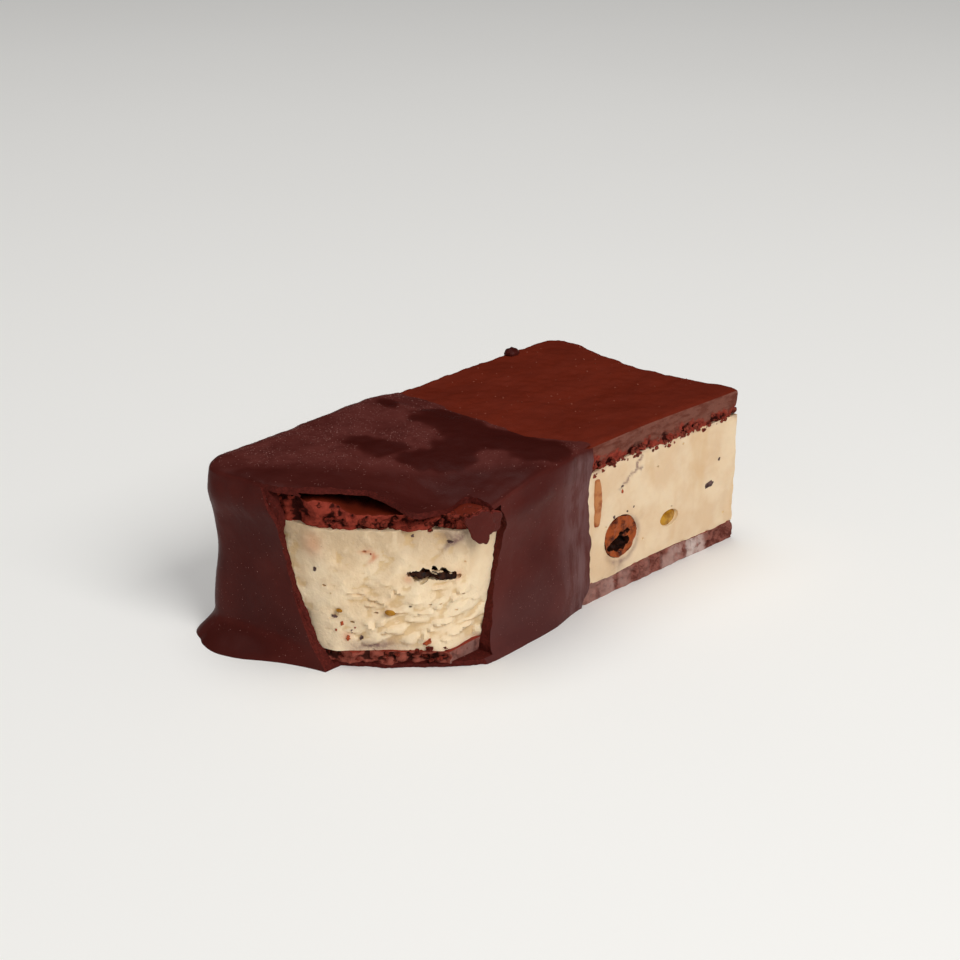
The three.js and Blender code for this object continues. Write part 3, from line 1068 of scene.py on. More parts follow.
@dataclass(frozen=True)
class CocoaCrumb:
    """The crumbly inside of a cocoa biscuit, smeared smooth near its dense upper side."""

    name: str = "cocoa_crumb"
    base: Tone = Tone(118, 42, 32)
    dark: Tone = Tone(42, 13, 10)
    warm: Tone = Tone(148, 60, 46)
    smear: Tone = Tone(122, 78, 66)
    drag: Tone = Tone(98, 54, 43)
    smear_from: float = 1.0
    smear_to: float = 0.0

    def material(self) -> Material:
        """Builds the crumb, with painted shade in its hollows, painted light on its ridges and a smeared
        band between two heights.

        Returns:
            The material.
        """
        g = Graph(self.name)
        lumps = g.noise(1.5, 5, 0.6)
        grit = g.noise(0.45, 4, 0.7)
        colour = g.blend(g.span(lumps, 0.38, 0.62), self.base, self.warm)
        colour = g.blend(g.span(grit, 0.5, 0.68, 0, 0.35), colour, self.dark)
        # Painted shade in the crumb's hollows and painted light on its ridges.
        colour = g.blend(g.span(g.mark("hollow"), 0.05, 0.75, 0, 0.9), colour, self.dark)
        colour = g.blend(g.span(g.mark("hollow"), -0.15, -0.8, 0, 0.6), colour, self.warm)
        if self.smear_to > self.smear_from:
            colour = self.smeared(g, colour)
        normal = g.bump(lumps, 0.4)
        normal = g.bump(grit, 0.16, normal)
        g.set(Base_Color=colour, Roughness=0.82, Normal=normal, Specular_IOR_Level=0.06)
        return g.material

    def smeared(self, g: Graph, colour: Socket) -> Socket:
        """Lays the greyish dragged smear over the crumb.

        Args:
            g: The graph that is being built.
            colour: The crumb's colour.

        Returns:
            The colour with the smear.
        """
        wander = g.times(g.reckon("SUBTRACT", g.noise(3.6, 4, 0.6), 0.5), 9 * MM)
        height = g.plus(g.part(Axis.Z), wander)
        band = g.span(height, self.smear_from * MM, self.smear_to * MM, 0, 0.92)
        dragged = g.span(g.noise(1.8, 4, 0.6, g.stretched(0.35, 1, 1)), 0.42, 0.62)
        smear = g.blend(dragged, self.smear, self.drag)
        return g.blend(band, colour, smear)


@dataclass(frozen=True)
class FrostedCrumb:
    """The lower biscuit's cut side: dark crumb under pinkish smears and white frost."""

    base: Tone = Tone(142, 86, 75)
    dark: Tone = Tone(96, 48, 40)
    smear: Tone = Tone(160, 116, 106)
    frost: Tone = Tone(214, 196, 188)

    def material(self) -> Material:
        """Builds the crumb, frosted where its corners are marked so.

        Returns:
            The material.
        """
        g = Graph("frosted_crumb")
        lumps = g.noise(1.6, 5, 0.65)
        grit = g.noise(0.5, 4, 0.7)
        frosted = g.mark("frost")
        colour = g.blend(g.span(lumps, 0.38, 0.62), self.dark, self.base)
        blocks = g.noise(5.2, 3, 0.45, g.stretched(1, 1, 0.25))
        colour = g.blend(g.times(g.span(blocks, 0.43, 0.5), frosted), colour, self.smear)
        white = g.noise(4.4, 4, 0.5, g.stretched(1, 1, 0.35))
        cover = g.times(g.span(white, 0.43, 0.56, 0, 0.85), g.reckon("POWER", frosted, 4))
        colour = g.blend(cover, colour, self.frost)
        normal = g.bump(lumps, 0.25)
        normal = g.bump(grit, 0.12, normal)
        g.set(Base_Color=colour, Roughness=0.7, Normal=normal, Specular_IOR_Level=0.1)
        return g.material


@dataclass(frozen=True)
class SetChocolate:
    """Dark chocolate that set in the cold: satin, dusted with frost, with a bluish bloom on one side;
    painted sheen lies on the frost and the bloom, and painted shade on the bare top.
    """

    base: Tone = Tone(72, 27, 23)
    warm: Tone = Tone(84, 35, 30)
    # bare_shade: painted shade on the bare patches of the top
    bare_shade: Tone = Tone(56, 16, 12)
    # bloom_and_sheen: bluish-grey bloom, with painted sheen
    bloom_and_sheen: Tone = Tone(116, 86, 86)
    # frost_and_sheen: the frost's paler tone, with painted sheen
    frost_and_sheen: Tone = Tone(92, 43, 38)
    side_y: float = -27.5
    line_x: float = 8.6

    def material(self) -> Material:
        """Builds the coat, dusted with frost and painted sheen where its corners are marked so, with
        painted shade where they are bare.

        Returns:
            The material.
        """
        g = Graph("set_chocolate")
        broad = g.noise(16, 3, 0.5)
        fine = g.noise(2.2, 4, 0.6)
        upward = g.span(g.part(Axis.Z, g.normal), 0.5, 0.85)
        frost = g.mark("frost")
        colour = g.blend(g.span(broad, 0.38, 0.62), self.base, self.warm)
        # Painted shade: bare patches of the top are darkened where no sheen falls.
        bare = g.times(upward, g.span(frost, 0.9, 0.0))
        colour = g.blend(g.times(bare, 0.9), colour, self.bare_shade)
        # Lighter frosted top: partly frost, partly painted sheen.
        dusted = g.times(upward, g.span(frost, 0.3, 0.95))
        colour = g.blend(g.times(dusted, g.span(fine, 0.35, 0.65, 0.3, 0.8)), colour, self.frost_and_sheen)
        # Bloom with painted sheen on the right side.
        bloom_and_sheen = self.bloom_and_sheen_share(g)
        colour = g.blend(bloom_and_sheen, colour, self.bloom_and_sheen)
        normal = g.bump(broad, 0.6)
        normal = g.bump(fine, 0.1, normal)
        dull = g.plus(g.times(bloom_and_sheen, 0.25), g.times(dusted, 0.15))
        rough = g.plus(g.span(fine, 0.3, 0.7, 0.34, 0.44), dull)
        g.set(Base_Color=colour, Roughness=rough, Normal=normal, Specular_IOR_Level=0.06)
        return g.material

    def bloom_and_sheen_share(self, g: Graph) -> Socket:
        """Streaky bloom with painted sheen on the right side, strongest beside the dip line.

        Args:
            g: The graph that is being built.

        Returns:
            How much bloom and painted sheen show at each place.
        """
        side = g.span(g.part(Axis.Y), (self.side_y + 1.0) * MM, (self.side_y - 0.3) * MM)
        near = g.span(g.part(Axis.X), (self.line_x - 13) * MM, (self.line_x - 1) * MM)
        below = g.span(g.part(Axis.Z), 36.0 * MM, 33.0 * MM)
        streaks = g.noise(2.4, 5, 0.65, g.stretched(1, 1, 0.28))
        patchy = g.span(streaks, 0.36, 0.62, 0.15, 0.78)
        by_line = g.times(near, patchy)
        low = g.span(g.part(Axis.Z), 18 * MM, 5 * MM, 0, 0.14)
        return g.times(g.times(side, below), g.reckon("MAXIMUM", by_line, low))


@dataclass(frozen=True)
class BrokenChocolate:
    """A fresh break through chocolate, redder and duller than its set face."""

    name: str = "broken_chocolate"
    base: Tone = Tone(76, 26, 21)
    light: Tone = Tone(96, 35, 29)
    rough: float = 0.6

    def material(self) -> Material:
        """Builds the broken surface.

        Returns:
            The material.
        """
        g = Graph(self.name)
        grit = g.noise(0.6, 5, 0.65)
        broad = g.noise(3.5, 4, 0.6)
        colour = g.blend(g.span(grit, 0.42, 0.66), self.base, self.light)
        colour = g.blend(g.span(broad, 0.4, 0.7, 0, 0.5), colour, self.base)
        normal = g.bump(grit, 0.18)
        g.set(Base_Color=colour, Roughness=self.rough, Normal=normal, Specular_IOR_Level=0.06)
        return g.material


@dataclass(frozen=True)
class NutMeat:
    """A roasted nut or almond: mottled flesh with a darker skin."""

    name: str
    flesh: Tone
    skin: Tone
    gloss: float = 0.45
    grain: float = 1.6

    def material(self) -> Material:
        """Builds the mottled flesh.

        Returns:
            The material.
        """
        g = Graph(self.name)
        mottle = g.noise(self.grain, 5, 0.6)
        fine = g.noise(0.4, 4, 0.6)
        colour = g.blend(g.span(mottle, 0.42, 0.66), self.flesh, self.skin)
        normal = g.bump(mottle, 0.25)
        normal = g.bump(fine, 0.06, normal)
        g.set(Base_Color=colour, Roughness=self.gloss, Normal=normal, Specular_IOR_Level=0.12)
        g.set(Subsurface_Weight=0.08, Subsurface_Scale=1.0 * MM, Subsurface_Radius=(1.0, 0.5, 0.25))
        return g.material


@dataclass(frozen=True)
class Morsel:
    """A small bit of one colour family, uneven in tone."""

    name: str
    base: Tone
    other: Tone
    rough: float = 0.6
    grain: float = 0.8
    gloss: float = 0.15

    def material(self) -> Material:
        """Builds the bit's surface.

        Returns:
            The material.
        """
        g = Graph(self.name)
        mottle = g.noise(self.grain, 4, 0.6)
        colour = g.blend(g.span(mottle, 0.4, 0.62), self.base, self.other)
        g.set(Base_Color=colour, Roughness=self.rough, Normal=g.bump(mottle, 0.15))
        g.set(Specular_IOR_Level=self.gloss)
        return g.material


@dataclass(frozen=True)
class PaleFloor:
    """A plain pale studio floor."""

    base: Tone = Tone(245, 244, 241)

    def material(self) -> Material:
        """Builds the floor, with the faintest unevenness.

        Returns:
            The material.
        """
        g = Graph("pale_floor")
        colour = g.blend(g.noise(180, 2), self.base, Tone(248, 247, 244))
        g.set(Base_Color=colour, Roughness=0.75, Specular_IOR_Level=0.2)
        return g.material


# --- Handing pieces over ---


@dataclass(frozen=True)
class Piece:
    """A finished piece, the name of a record slot that nothing here reads, and the nodes that it stands
    for.
    """

    obj: Object
    slot: str
    nodes: tuple[str, ...] = ()

    def hand_over(self) -> None:
        """Lets the piece ride on the bar, and logs it."""
        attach(self.obj, "root")
        if self.nodes:
            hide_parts(*self.nodes)
        self.obj.data.calc_loop_triangles()
        LOG.info("%s: %d triangles", self.obj.name, len(self.obj.data.loop_triangles))


def dress(obj: Object, *materials: Material) -> None:
    """Gives the object these materials, in this order.

    Args:
        obj: The object.
    """
    obj.data.materials.clear()
    for material in materials:
        obj.data.materials.append(material)


def paint(obj: Object, index: int, test: Test) -> None:
    """Gives the faces that pass a test the material with that index.

    Args:
        obj: The object that is painted.
        index: The material's place in its list.
        test: Takes middles and normals, and returns which faces to paint.
    """
    chosen = Bench.pick_faces(obj, test)
    indices = np.zeros(len(obj.data.polygons), dtype=np.int32)
    obj.data.polygons.foreach_get("material_index", indices)
    indices[chosen] = index
    obj.data.polygons.foreach_set("material_index", indices)


# --- Cutters ---


@dataclass(frozen=True)
class BiteCutter:
    """The body that the bite takes away, with a rough inner face.

    The face is roughened while flat, in a plane along X and Z, and then bent onto the bite.
    """

    form: BarForm
    set_back: Surface
    reliefs: Reliefs
    torn: float = 0.0
    torn_row: float = 2.5
    torn_slope: float = 0.3
    deep: float = 20.0
    past: float = 40.0
    step: float = 0.42
    reach: Pair = (-16.0, 50.0)
    rise: Pair = (-1.5, 40.0)

    def build(self, material: Material) -> Object:
        """Makes the cutter.

        Args:
            material: The finish that it leaves on the faces it cuts.

        Returns:
            The closed cutter.
        """
        low, high = (self.reach[0], 0.0, self.rise[0]), (self.reach[1], self.deep, self.rise[1])
        obj = Bench.cube("bite_cutter", low, high)
        dress(obj, material)
        Bench.divide(obj, self.step, Axis.X, Axis.Z)
        points = Bench.points(obj)
        front = Bench.group(obj, "front", (points[:, 1] < self.deep / 2).astype(float))
        for relief, grain, depth in self.reliefs:
            Bench.roughen(obj, grain, depth, front, "Y", relief)
        return Bench.warp(obj, self.onto_bite)

    def scales(self, along: Array, z: Array) -> Array:
        """The overlapping torn scales low in the bite: each stands out below and breaks off above.

        Args:
            along: Places along the bite.
            z: Their heights.

        Returns:
            How far the scales stand out.
        """
        where = 0.12 + 0.88 * ramp(-z, -21, -15) * ramp(-along, -30, -18)
        where = where * ramp(z, 3.5, 6) * ramp(-z, -27, -23)
        wander = 1.6 * swell(along, z, 13, 2) + 1.1 * swell(along, z, 5.7, 5)
        row = (z - self.torn_slope * along + wander) / self.torn_row
        broken = ramp(swell(along + 0.6 * z, 1.7 * z, 7.3, 1), -0.5, 0.5)
        share = row - np.floor(row)
        return self.torn * where * broken * (1 - share) ** 1.2 * ramp(share, 0, 0.22)

    def onto_bite(self, points: Array) -> Array:
        """Bends the flat cutter onto the bitten face.

        Args:
            points: Places on the flat cutter.

        Returns:
            The bent places.
        """
        along, rough, z = points.T
        face = self.form.bite_face(along, z) - self.set_back(along, z) + rough + self.scales(along, z)
        out = np.where(rough < self.deep / 2, face, self.form.bite_reach + self.past)
        x = self.form.along[0] * along + self.form.out[0] * out
        y = self.form.along[1] * along + self.form.out[1] * out
        return np.column_stack([x, y, z])


# --- Layers ---


@dataclass
class IceCream:
    """The ice cream, with its cut sides, its bitten face and its hollows."""

    form: BarForm
    thick: float = 26.0
    step: float = 2.4
    fine_cuts: int = 5
    exposed_from: float = 1.0
    left_wear: float = 2.2
    reliefs: Reliefs = (
        (Relief.SWELLS, 11, 3.4),
        (Relief.SWELLS, 4.6, 1.2),
        (Relief.CREASES, 2.2, 0.25),
        (Relief.SWELLS, 0.9, 0.12),
    )
    cut_pits: int = 7
    bite_pits: int = 34
    nut_socket: Triple = (5.35, 5.6, 4.85)
    amber_pit: Triple = (3.1, 1.3, 1.9)
    shard_slot: Triple = (5.2, 3.4, 1.25)
    streak: Sequence[Rows] = (
        ((20.2, 23.6), (22.2, 24.8)),
        ((22.2, 24.8), (25.2, 26.4)),
        ((25.2, 26.4), (27.2, 29.0)),
        ((25.0, 26.2), (27.4, 26.4)),
    )

    def build(self) -> Object:
        """Makes the ice cream.

        Returns:
            The ice cream.
        """
        form = self.form
        heights = form.filling_bottom, form.filling_top
        obj = form.layer("cream_filling", *heights, self.thick, self.step, self.step)
        torn = CutCream(Tone(232, 203, 164), pale=Tone(245, 222, 187), torn=True).material()
        dress(obj, CutCream().material(), torn)
        paint(obj, 1, lambda middles, _: middles[:, 0] < 0)
        self.work_cut_sides(obj)

        def set_back(along: Array, z: Array) -> Array:
            """The rounding of the bitten face towards its right and left ends."""
            return form.worn_corner(along, z) + self.left_wear * ramp(along, 28, 37)

        Bench.cut(obj, BiteCutter(form, set_back, self.reliefs, torn=1.6, step=0.32).build(torn))
        self.hollow(obj, torn)
        # The hollow mark drives painted shade in the torn cream's hollows and painted highlights on its
        # ridges.
        Bench.mark(obj, "hollow", Bench.cavities(obj, 8, 0.16))
        # Real stains, and the painted shadow line round the nut.
        Bench.mark(obj, "stain_and_shadow", self.stains(Bench.points(obj)))
        Bench.mark(obj, "blush", self.blushes(Bench.points(obj)))
        Bench.smooth(obj, 50)
        return obj

    def stains(self, points: Array) -> Array:
        """Where the cream is stained: round the nut, under the upper biscuit and low in the bite; the thin
        ring on the nut's right side is partly grey smear and partly a painted shadow line at the nut's
        seam.

        Args:
            points: The cream's corners.

        Returns:
            How strong the stain and painted shadow are at each.
        """
        x, y, z = points.T
        form = self.form
        along, out = form.off_bite(x, y)
        nut_x, nut_z = form.nut_at
        cut = ramp(-y, form.half_width - 1.5, form.half_width - 0.7) * ramp(x, 0, 4)
        # Partly grey smear and partly a painted shadow line where the nut meets the cream, on its right
        # side.
        ring = bump(np.hypot(x - nut_x - 0.5, 1.1 * (z - nut_z + 0.9)), 5.6, 0.75) * ramp(x - z, 3, 10)
        tail = bump(x, nut_x - 0.9, 3.2) * bump(z, 5.6, 1.6)
        streak = np.zeros_like(x)
        for stroke in self.streak:
            apart = distance_to_line(x + 0.3 * np.sin(3 * z), z + 0.25 * np.sin(2.6 * x), *stroke)
            streak = np.maximum(streak, bump(apart, 0, 0.34 + 0.14 * np.sin(4 * x)))
        ragged = 0.5 + 0.5 * swell(x, z, 4.7, 1)
        under = ramp(z - form.filling_top(x, y), -1.1, -0.1) * ragged * ramp(x, 4, 8)
        bitten = ramp(out, 30, 34) * ramp(-x, 10, 20)
        low = bump(along, 20, 5) * bump(z, 4.6, 1.1) + 0.7 * bump(along, 3.2, 4) * bump(z, 27.4, 1.6)
        trail = 0.8 * bump(along + 1.1 * (z - 25.4), 4.6, 0.8) * bump(z, 25.4, 1.7)
        on_cut = cut * (0.6 * ring + 0.45 * tail + 1.1 * streak)
        return np.clip(on_cut + 0.5 * under + bitten * (low + trail), 0, 1)

    def blushes(self, points: Array) -> Array:
        """Where nut skin has coloured the cream orange.

        Args:
            points: The cream's corners.

        Returns:
            How strong the colour is at each.
        """
        x, y, z = points.T
        along, out = self.form.off_bite(x, y)
        shard_along, shard_z = self.form.shard_at
        bitten = ramp(out, 30, 34) * ramp(-x, 10, 20)
        fork = bump(along - 19.6 - 0.8 * np.abs(z - 23.4), 0, 0.55) * bump(z, 23.4, 1.3)
        fork = np.maximum(fork, 0.8 * bump(along, 21.4, 1.2) * bump(z, 24.3, 0.35))
        high = bump(along, 32, 1.8) * bump(z, 25, 2.4)
        low = bump(along, 25.6, 0.9) * bump(z, 6.6, 0.8)
        ends = bump(np.abs(along - shard_along - 0.2), 4.9, 0.8) * bump(z, shard_z - 0.5, 0.9)
        return np.clip(bitten * (0.85 * fork + 0.4 * high + 0.5 * low + 0.5 * ends), 0, 1)

    def work_cut_sides(self, obj: Object) -> None:
        """Refines the sides that show past the dip line, and smears them as a knife does.

        Args:
            obj: The ice cream.
        """
        start = self.exposed_from

        def shows(middles: Array, normals: Array) -> Array:
            """The upright faces past the dip line."""
            return (np.abs(normals[:, 2]) < 0.5) & (middles[:, 0] > start)

        Bench.refine(obj, self.fine_cuts, shows)
        points = Bench.points(obj)
        sides = Bench.group(obj, "sides", ramp(points[:, 0], start, start + 4))
        Bench.roughen(obj, 16, 1.2, sides, "Y")
        Bench.roughen(obj, 5, 0.6, sides)
        Bench.roughen(obj, 1.4, 0.14, sides)

    def hollow(self, obj: Object, lining: Material) -> None:
        """Takes away the nut's socket, the pit that holds the painted glow, small pits and the shard's
        slot.

        Args:
            obj: The ice cream.
            lining: The finish of the hollows' walls.
        """
        rng = random.Random(SEED)
        face_y = -self.form.half_width
        (nut_x, nut_z), (glow_x, glow_z) = self.form.nut_at, self.form.pit_glow_at
        cutters = [
            Bench.ball("nut_socket", (nut_x, face_y + 0.4, nut_z), self.nut_socket, 4),
            Bench.ball("amber_pit", (glow_x, face_y - 0.15, glow_z), self.amber_pit, 4),
        ]
        for _ in range(self.cut_pits):
            x, z = rng.uniform(14, 58), rng.uniform(6, 29)
            size = rng.uniform(0.18, 0.4)
            cutters.append(Bench.ball("pit", (x, face_y, z), (size * rng.uniform(1, 2.2), 0.5, size), 2))
        for _ in range(self.bite_pits):
            along, z = rng.uniform(1, 33), rng.triangular(5, 26, 8)
            size = rng.triangular(0.12, 0.5, 0.2)
            spot = self.form.on_bite(along, z)
            cutters.append(Bench.ball("pit", spot, (size * rng.uniform(1, 1.8), size * 1.4, size * 0.6), 2))
        cutter = Bench.join("hollows", cutters)
        dress(cutter, lining)
        Bench.cut(obj, cutter)
        self.open_shard_cavity(obj, lining)

    def open_shard_cavity(self, obj: Object, lining: Material) -> None:
        """Takes away the torn slot in which the chocolate shard lies.

        Args:
            obj: The ice cream.
            lining: The finish of the slot's walls.
        """
        slot = Bench.ball("shard_slot", (0, 0, 0), self.shard_slot, 5)
        dress(slot, lining)
        Bench.roughen(slot, 2.6, 3.0)
        Bench.roughen(slot, 1.0, 1.0)
        Bench.place(slot, self.form.shard_turn, self.form.on_bite(*self.form.shard_at, 0.4))
        Bench.cut(obj, slot)


@dataclass
class Biscuit:
    """One cocoa biscuit layer with crumbly sides."""

    form: BarForm
    name: str
    lower: Surface
    upper: Surface
    crumb: Material
    bitten: Material
    skin: Material
    thick: float
    soft: float
    set_back: Surface
    bite_rise: Pair
    crumb_low: float
    crumb_high: float
    step: float = 2.4
    fine_cuts: int = 4
    exposed_from: float = 1.0
    reliefs: Reliefs = (
        (Relief.SWELLS, 5, 5.4),
        (Relief.SWELLS, 2.2, 2.8),
        (Relief.SWELLS, 0.9, 0.9),
        (Relief.CREASES, 0.8, 0.3),
    )

    def build(self) -> Object:
        """Makes the biscuit.

        Returns:
            The biscuit.
        """
        obj = self.form.layer(
            self.name, self.lower, self.upper, self.thick, self.step, self.step, self.soft
        )
        dress(obj, self.skin, self.crumb)
        paint(obj, 1, lambda _, normals: np.abs(normals[:, 2]) < 0.5)
        Bench.refine(obj, self.fine_cuts, lambda middles, _: middles[:, 0] > self.exposed_from)
        self.crumble(obj)
        bite = BiteCutter(self.form, self.set_back, self.reliefs, step=0.24, rise=self.bite_rise)
        Bench.cut(obj, bite.build(self.bitten))
        # The hollow mark drives painted shade in crevices and painted light on ridges.
        Bench.mark(obj, "hollow", Bench.cavities(obj, 12, 0.28))
        Bench.smooth(obj, 62)
        return obj

    def crumble(self, obj: Object) -> None:
        """Roughens the cut sides between two heights, and ruffles the top a little.

        Args:
            obj: The biscuit.
        """
        points = Bench.points(obj)
        upright = self.upright_corners(points)
        edge = self.crumb_high + 0.7 * swell(points[:, 0], points[:, 1], 9, 3)
        height = ramp(edge - points[:, 2], 0, self.crumb_high - self.crumb_low)
        height = height * ramp(points[:, 2], 0, 1.2)
        past = ramp(points[:, 0], self.exposed_from, self.exposed_from + 3)
        crumbly = Bench.group(obj, "crumbly", upright * height * past)
        Bench.roughen(obj, 2.0, 2.2, crumbly)
        Bench.roughen(obj, 1.1, 1.2, crumbly, relief=Relief.CREASES)
        face = Bench.group(obj, "face", past)
        Bench.roughen(obj, 8, 1.0, face)
        Bench.roughen(obj, 2.2, 0.35, face)

    def upright_corners(self, points: Array) -> Array:
        """Which corners lie on the bar's cut sides.

        Args:
            points: The biscuit's corners.

        Returns:
            A flag for each.
        """
        side = self.form.half_width - np.abs(points[:, 1]) < 0.05
        end = points[:, 0] > self.form.end - self.form.hollow - 0.5
        return (side | end).astype(float)


# Bare patches of the dipped top, which take painted shade: each stroke's start, stop and radius.
BARE_SHADED_STROKES = (
    ((-1.5, 6.0), (-2.5, -8.0), 5.6),
    ((-2.5, -8.0), (0.0, -22.0), 6.6),
    ((-2.5, -8.0), (-17.5, -10.5), 5.6),
    ((-17.5, -10.5), (-20.0, -7.0), 4.8),
    ((-21.8, 1.5), (-22.8, 8.5), 3.6),
    ((-4.5, 18.0), (-2.5, 21.0), 2.2),
)


def frost_and_sheen_cover(form: BarForm, x: Array, y: Array) -> Array:
    """How much frost and painted sheen cover the dipped top: none in its bare patches, which take painted
    shade and are drawn as wide strokes.

    Args:
        form: The bar's form.
        x: Places along X.
        y: Places along Y.

    Returns:
        A share from 0 to 1 for every place.
    """
    moved_x = x + 1.2 * swell(x, y, 13, 1) + 0.6 * swell(x, y, 5.3, 2)
    moved_y = y + 1.2 * swell(y, x, 11, 4) + 0.6 * swell(y, x, 4.7, 3)
    bare = np.zeros_like(x)
    for start, stop, radius in BARE_SHADED_STROKES:
        apart = distance_to_line(moved_x, moved_y, start, stop)
        bare = np.maximum(bare, ramp(-apart, -2.6 - radius, 2.4 - radius))
    # Further bare patches with painted shade: at the far end corner, towards the bite and in broad thin
    # spots.
    corner = 0.5 * ramp(-np.hypot(x + 52, y - 19), -9, -4)
    worn = 0.66 * ramp(form.off_bite(x, y)[1], 18, 27)
    thin = 0.35 * ramp(swell(x, y, 19, 3), 0.0, 0.6)
    for patch in (corner, worn, thin):
        bare = np.maximum(bare, patch)
    return 1 - bare


@dataclass
class ChocolateDip:
    """The chocolate shell round the dipped half."""

    form: BarForm
    lip: float = 0.45
    wall: float = 2.2
    floor: float = 0.8
    over: float = 1.2
    edge_radius: float = 1.7
    run_on: float = 20.0
    build_up: float = 12.0
    shoulder: float = 7.0
    brim_z: float = 31.5
    waist_z: float = 20.5
    foot_height: float = 4.2
    foot_curve: float = 1.3
    foot_end: float = 7.1
    foot_end_y: Pair = (16.0, 14.0)
    foot_end_least: float = 0.6
    foot_right: float = 2.4
    foot_left: float = 3.6
    right_break_x: float = -24.0
    right_lean: float = 0.215
    left_break_y: float = -8.6
    left_lean: float = 0.41
    bays: Rows = (
        (1.2, 4.2, 5.2), (11.8, 2.9, -3.4), (21.5, 5.0, 2.7), (34.5, 3.0, -0.8),
    )
    step: float = 1.6

    def build(self) -> Object:
        """Makes the shell.

        Returns:
            The shell.
        """
        obj = self.outside()
        broken = BrokenChocolate().material()
        dress(obj, SetChocolate().material())
        for cutter in (self.room(), self.past_dip_line(), self.broken_walls(), self.bite(broken)):
            if not cutter.data.materials:
                dress(cutter, broken)
            Bench.cut(obj, cutter)
        points = Bench.points(obj)
        # Frost and painted sheen where the mark is high, painted shade where it is low.
        Bench.mark(obj, "frost", frost_and_sheen_cover(self.form, points[:, 0], points[:, 1]))
        Bench.smooth(obj, 42)
        return obj

    def outside(self) -> Object:
        """Makes the shell's outer form from a box with rounded edges.

        Returns:
            The form.
        """
        form, radius = self.form, self.edge_radius
        low = (form.start, -form.half_width, -2 * radius)
        open_end = form.dip_line_x + self.run_on
        high = (open_end, form.half_width, form.height + self.over)
        obj = Bench.cube("chocolate_coat", low, high)
        Bench.round_edges(obj, radius, 5, lambda middles, _: middles[:, 0] < open_end - 1)
        Bench.divide(obj, self.step, *Axis)
        Bench.warp(obj, self.shape)
        Bench.soften(obj)
        high_up = Bench.group(obj, "high_up", ramp(Bench.points(obj)[:, 2], 22, 33))
        Bench.roughen(obj, 15, 0.7)
        Bench.roughen(obj, 8, 1.0, high_up)
        Bench.roughen(obj, 3.2, 0.28, high_up)
        ground = Bench.cube("ground", (-90, -60, -30), (90, 60, 0))
        Bench.cut(obj, ground)
        return obj

    def shape(self, points: Array) -> Array:
        """Gives the box its wall, waist, brim, foot and dented top.

        Args:
            points: Places on the plain box.

        Returns:
            The shaped places.
        """
        form = self.form
        x, y, z = points.T
        height = np.maximum(z, 0)
        out_x = -ramp(form.start + self.edge_radius - x, 0, self.edge_radius)
        out_y = np.sign(y) * ramp(np.abs(y), form.half_width - self.edge_radius, form.half_width)
        behind = form.dip_line(y, height) - x
        built = ramp(behind, 0, self.build_up)
        wall = self.lip + (self.wall - self.lip) * built
        brim, waist = 0.8 * bump(height, self.brim_z, 2.2), bump(height, self.waist_z, 7)
        uneven = brim - waist + 0.2 * swell(x + y, height, 17, 1)
        spread = np.clip(1 - height / self.foot_height, 0, 1) ** self.foot_curve
        foot = spread * self.flare(x, y, out_x, out_y)
        grow = (wall + built * uneven + foot) / np.maximum(1, np.hypot(out_x, out_y))
        p = form.bend(points)
        thin = 1 - ramp(behind, 0, self.shoulder)
        crown = form.top(p[:, 0], p[:, 1]) - form.height + thin * (self.lip - self.over)
        p[:, 2] += np.clip(z / form.height, 0, 1) * crown
        p[:, 0] += out_x * grow
        p[:, 1] += out_y * grow
        return p

    def flare(self, x: Array, y: Array, out_x: Array, out_y: Array) -> Array:
        """How far the foot stands out at a place on the outline.

        Args:
            x: Places along X.
            y: Places along Y.
            out_x: How far the outline faces along X.
            out_y: How far it faces along Y.

        Returns:
            The foot's reach at every place.
        """
        end = self.foot_end * bump(y, *self.foot_end_y) + self.foot_end_least
        right = self.foot_right * ramp(-x, -10, 22)
        left = self.foot_left * ramp(-x, -9, 0) * (1 - 0.75 * ramp(-x, 36, 50))
        return np.maximum(0, -out_x) * end + np.maximum(0, -out_y) * right + np.maximum(0, out_y) * left

    def room(self) -> Object:
        """Makes the body of the bar inside the shell.

        Returns:
            The body.
        """
        form = self.form
        return form.layer(
            "bar_room", lambda x, y: np.full_like(x, self.floor), form.top, form.height, self.step, 6.0
        )

    def past_dip_line(self) -> Object:
        """Makes the body that trims the shell at the dip line.

        Returns:
            The body.
        """
        obj = Bench.cube("past_dip_line", (-1, -45, -15), (1, 45, 45))
        Bench.divide(obj, 0.6, Axis.Y, Axis.Z)

        def shape(points: Array) -> Array:
            """Moves the near face to the dip line.

            Args:
                points: Places on the plain box.

            Returns:
                The moved places.
            """
            x, y, z = points.T
            ragged = 0.3 * swell(y, z, 6.1, 1) + 0.2 * swell(y, z, 2.7, 4)
            line = self.form.dip_line(y, z) + ragged
            return np.column_stack([np.where(x < 0, line, 100), y, z])

        return Bench.warp(obj, shape)

    def left_break(self, level: Array) -> Array:
        """Where the left wall broke along Y, at a height.

        Args:
            level: The heights.

        Returns:
            The places along Y.
        """
        line = self.left_break_y + self.left_lean * level + 0.4 * np.sin(level / 3.1)
        toe = 1.8 * (1 - ramp(level, 0, 5))
        bulge, nick = 2.0 * bump(level, 15, 7.5), 1.2 * bump(level, 28.5, 3.5)
        return line - toe + bulge - nick

    def broken_walls(self) -> Object:
        """Makes the body that breaks both walls away past the bitten face.

        Returns:
            The body.
        """
        form, wide, tall = self.form, 50.0, 30.0
        foot, brow = 1.2, form.height - 3.0
        obj = Bench.cube("broken_walls", (0, 0, 0), (wide, wide, tall))
        Bench.divide(obj, 0.8, *Axis)

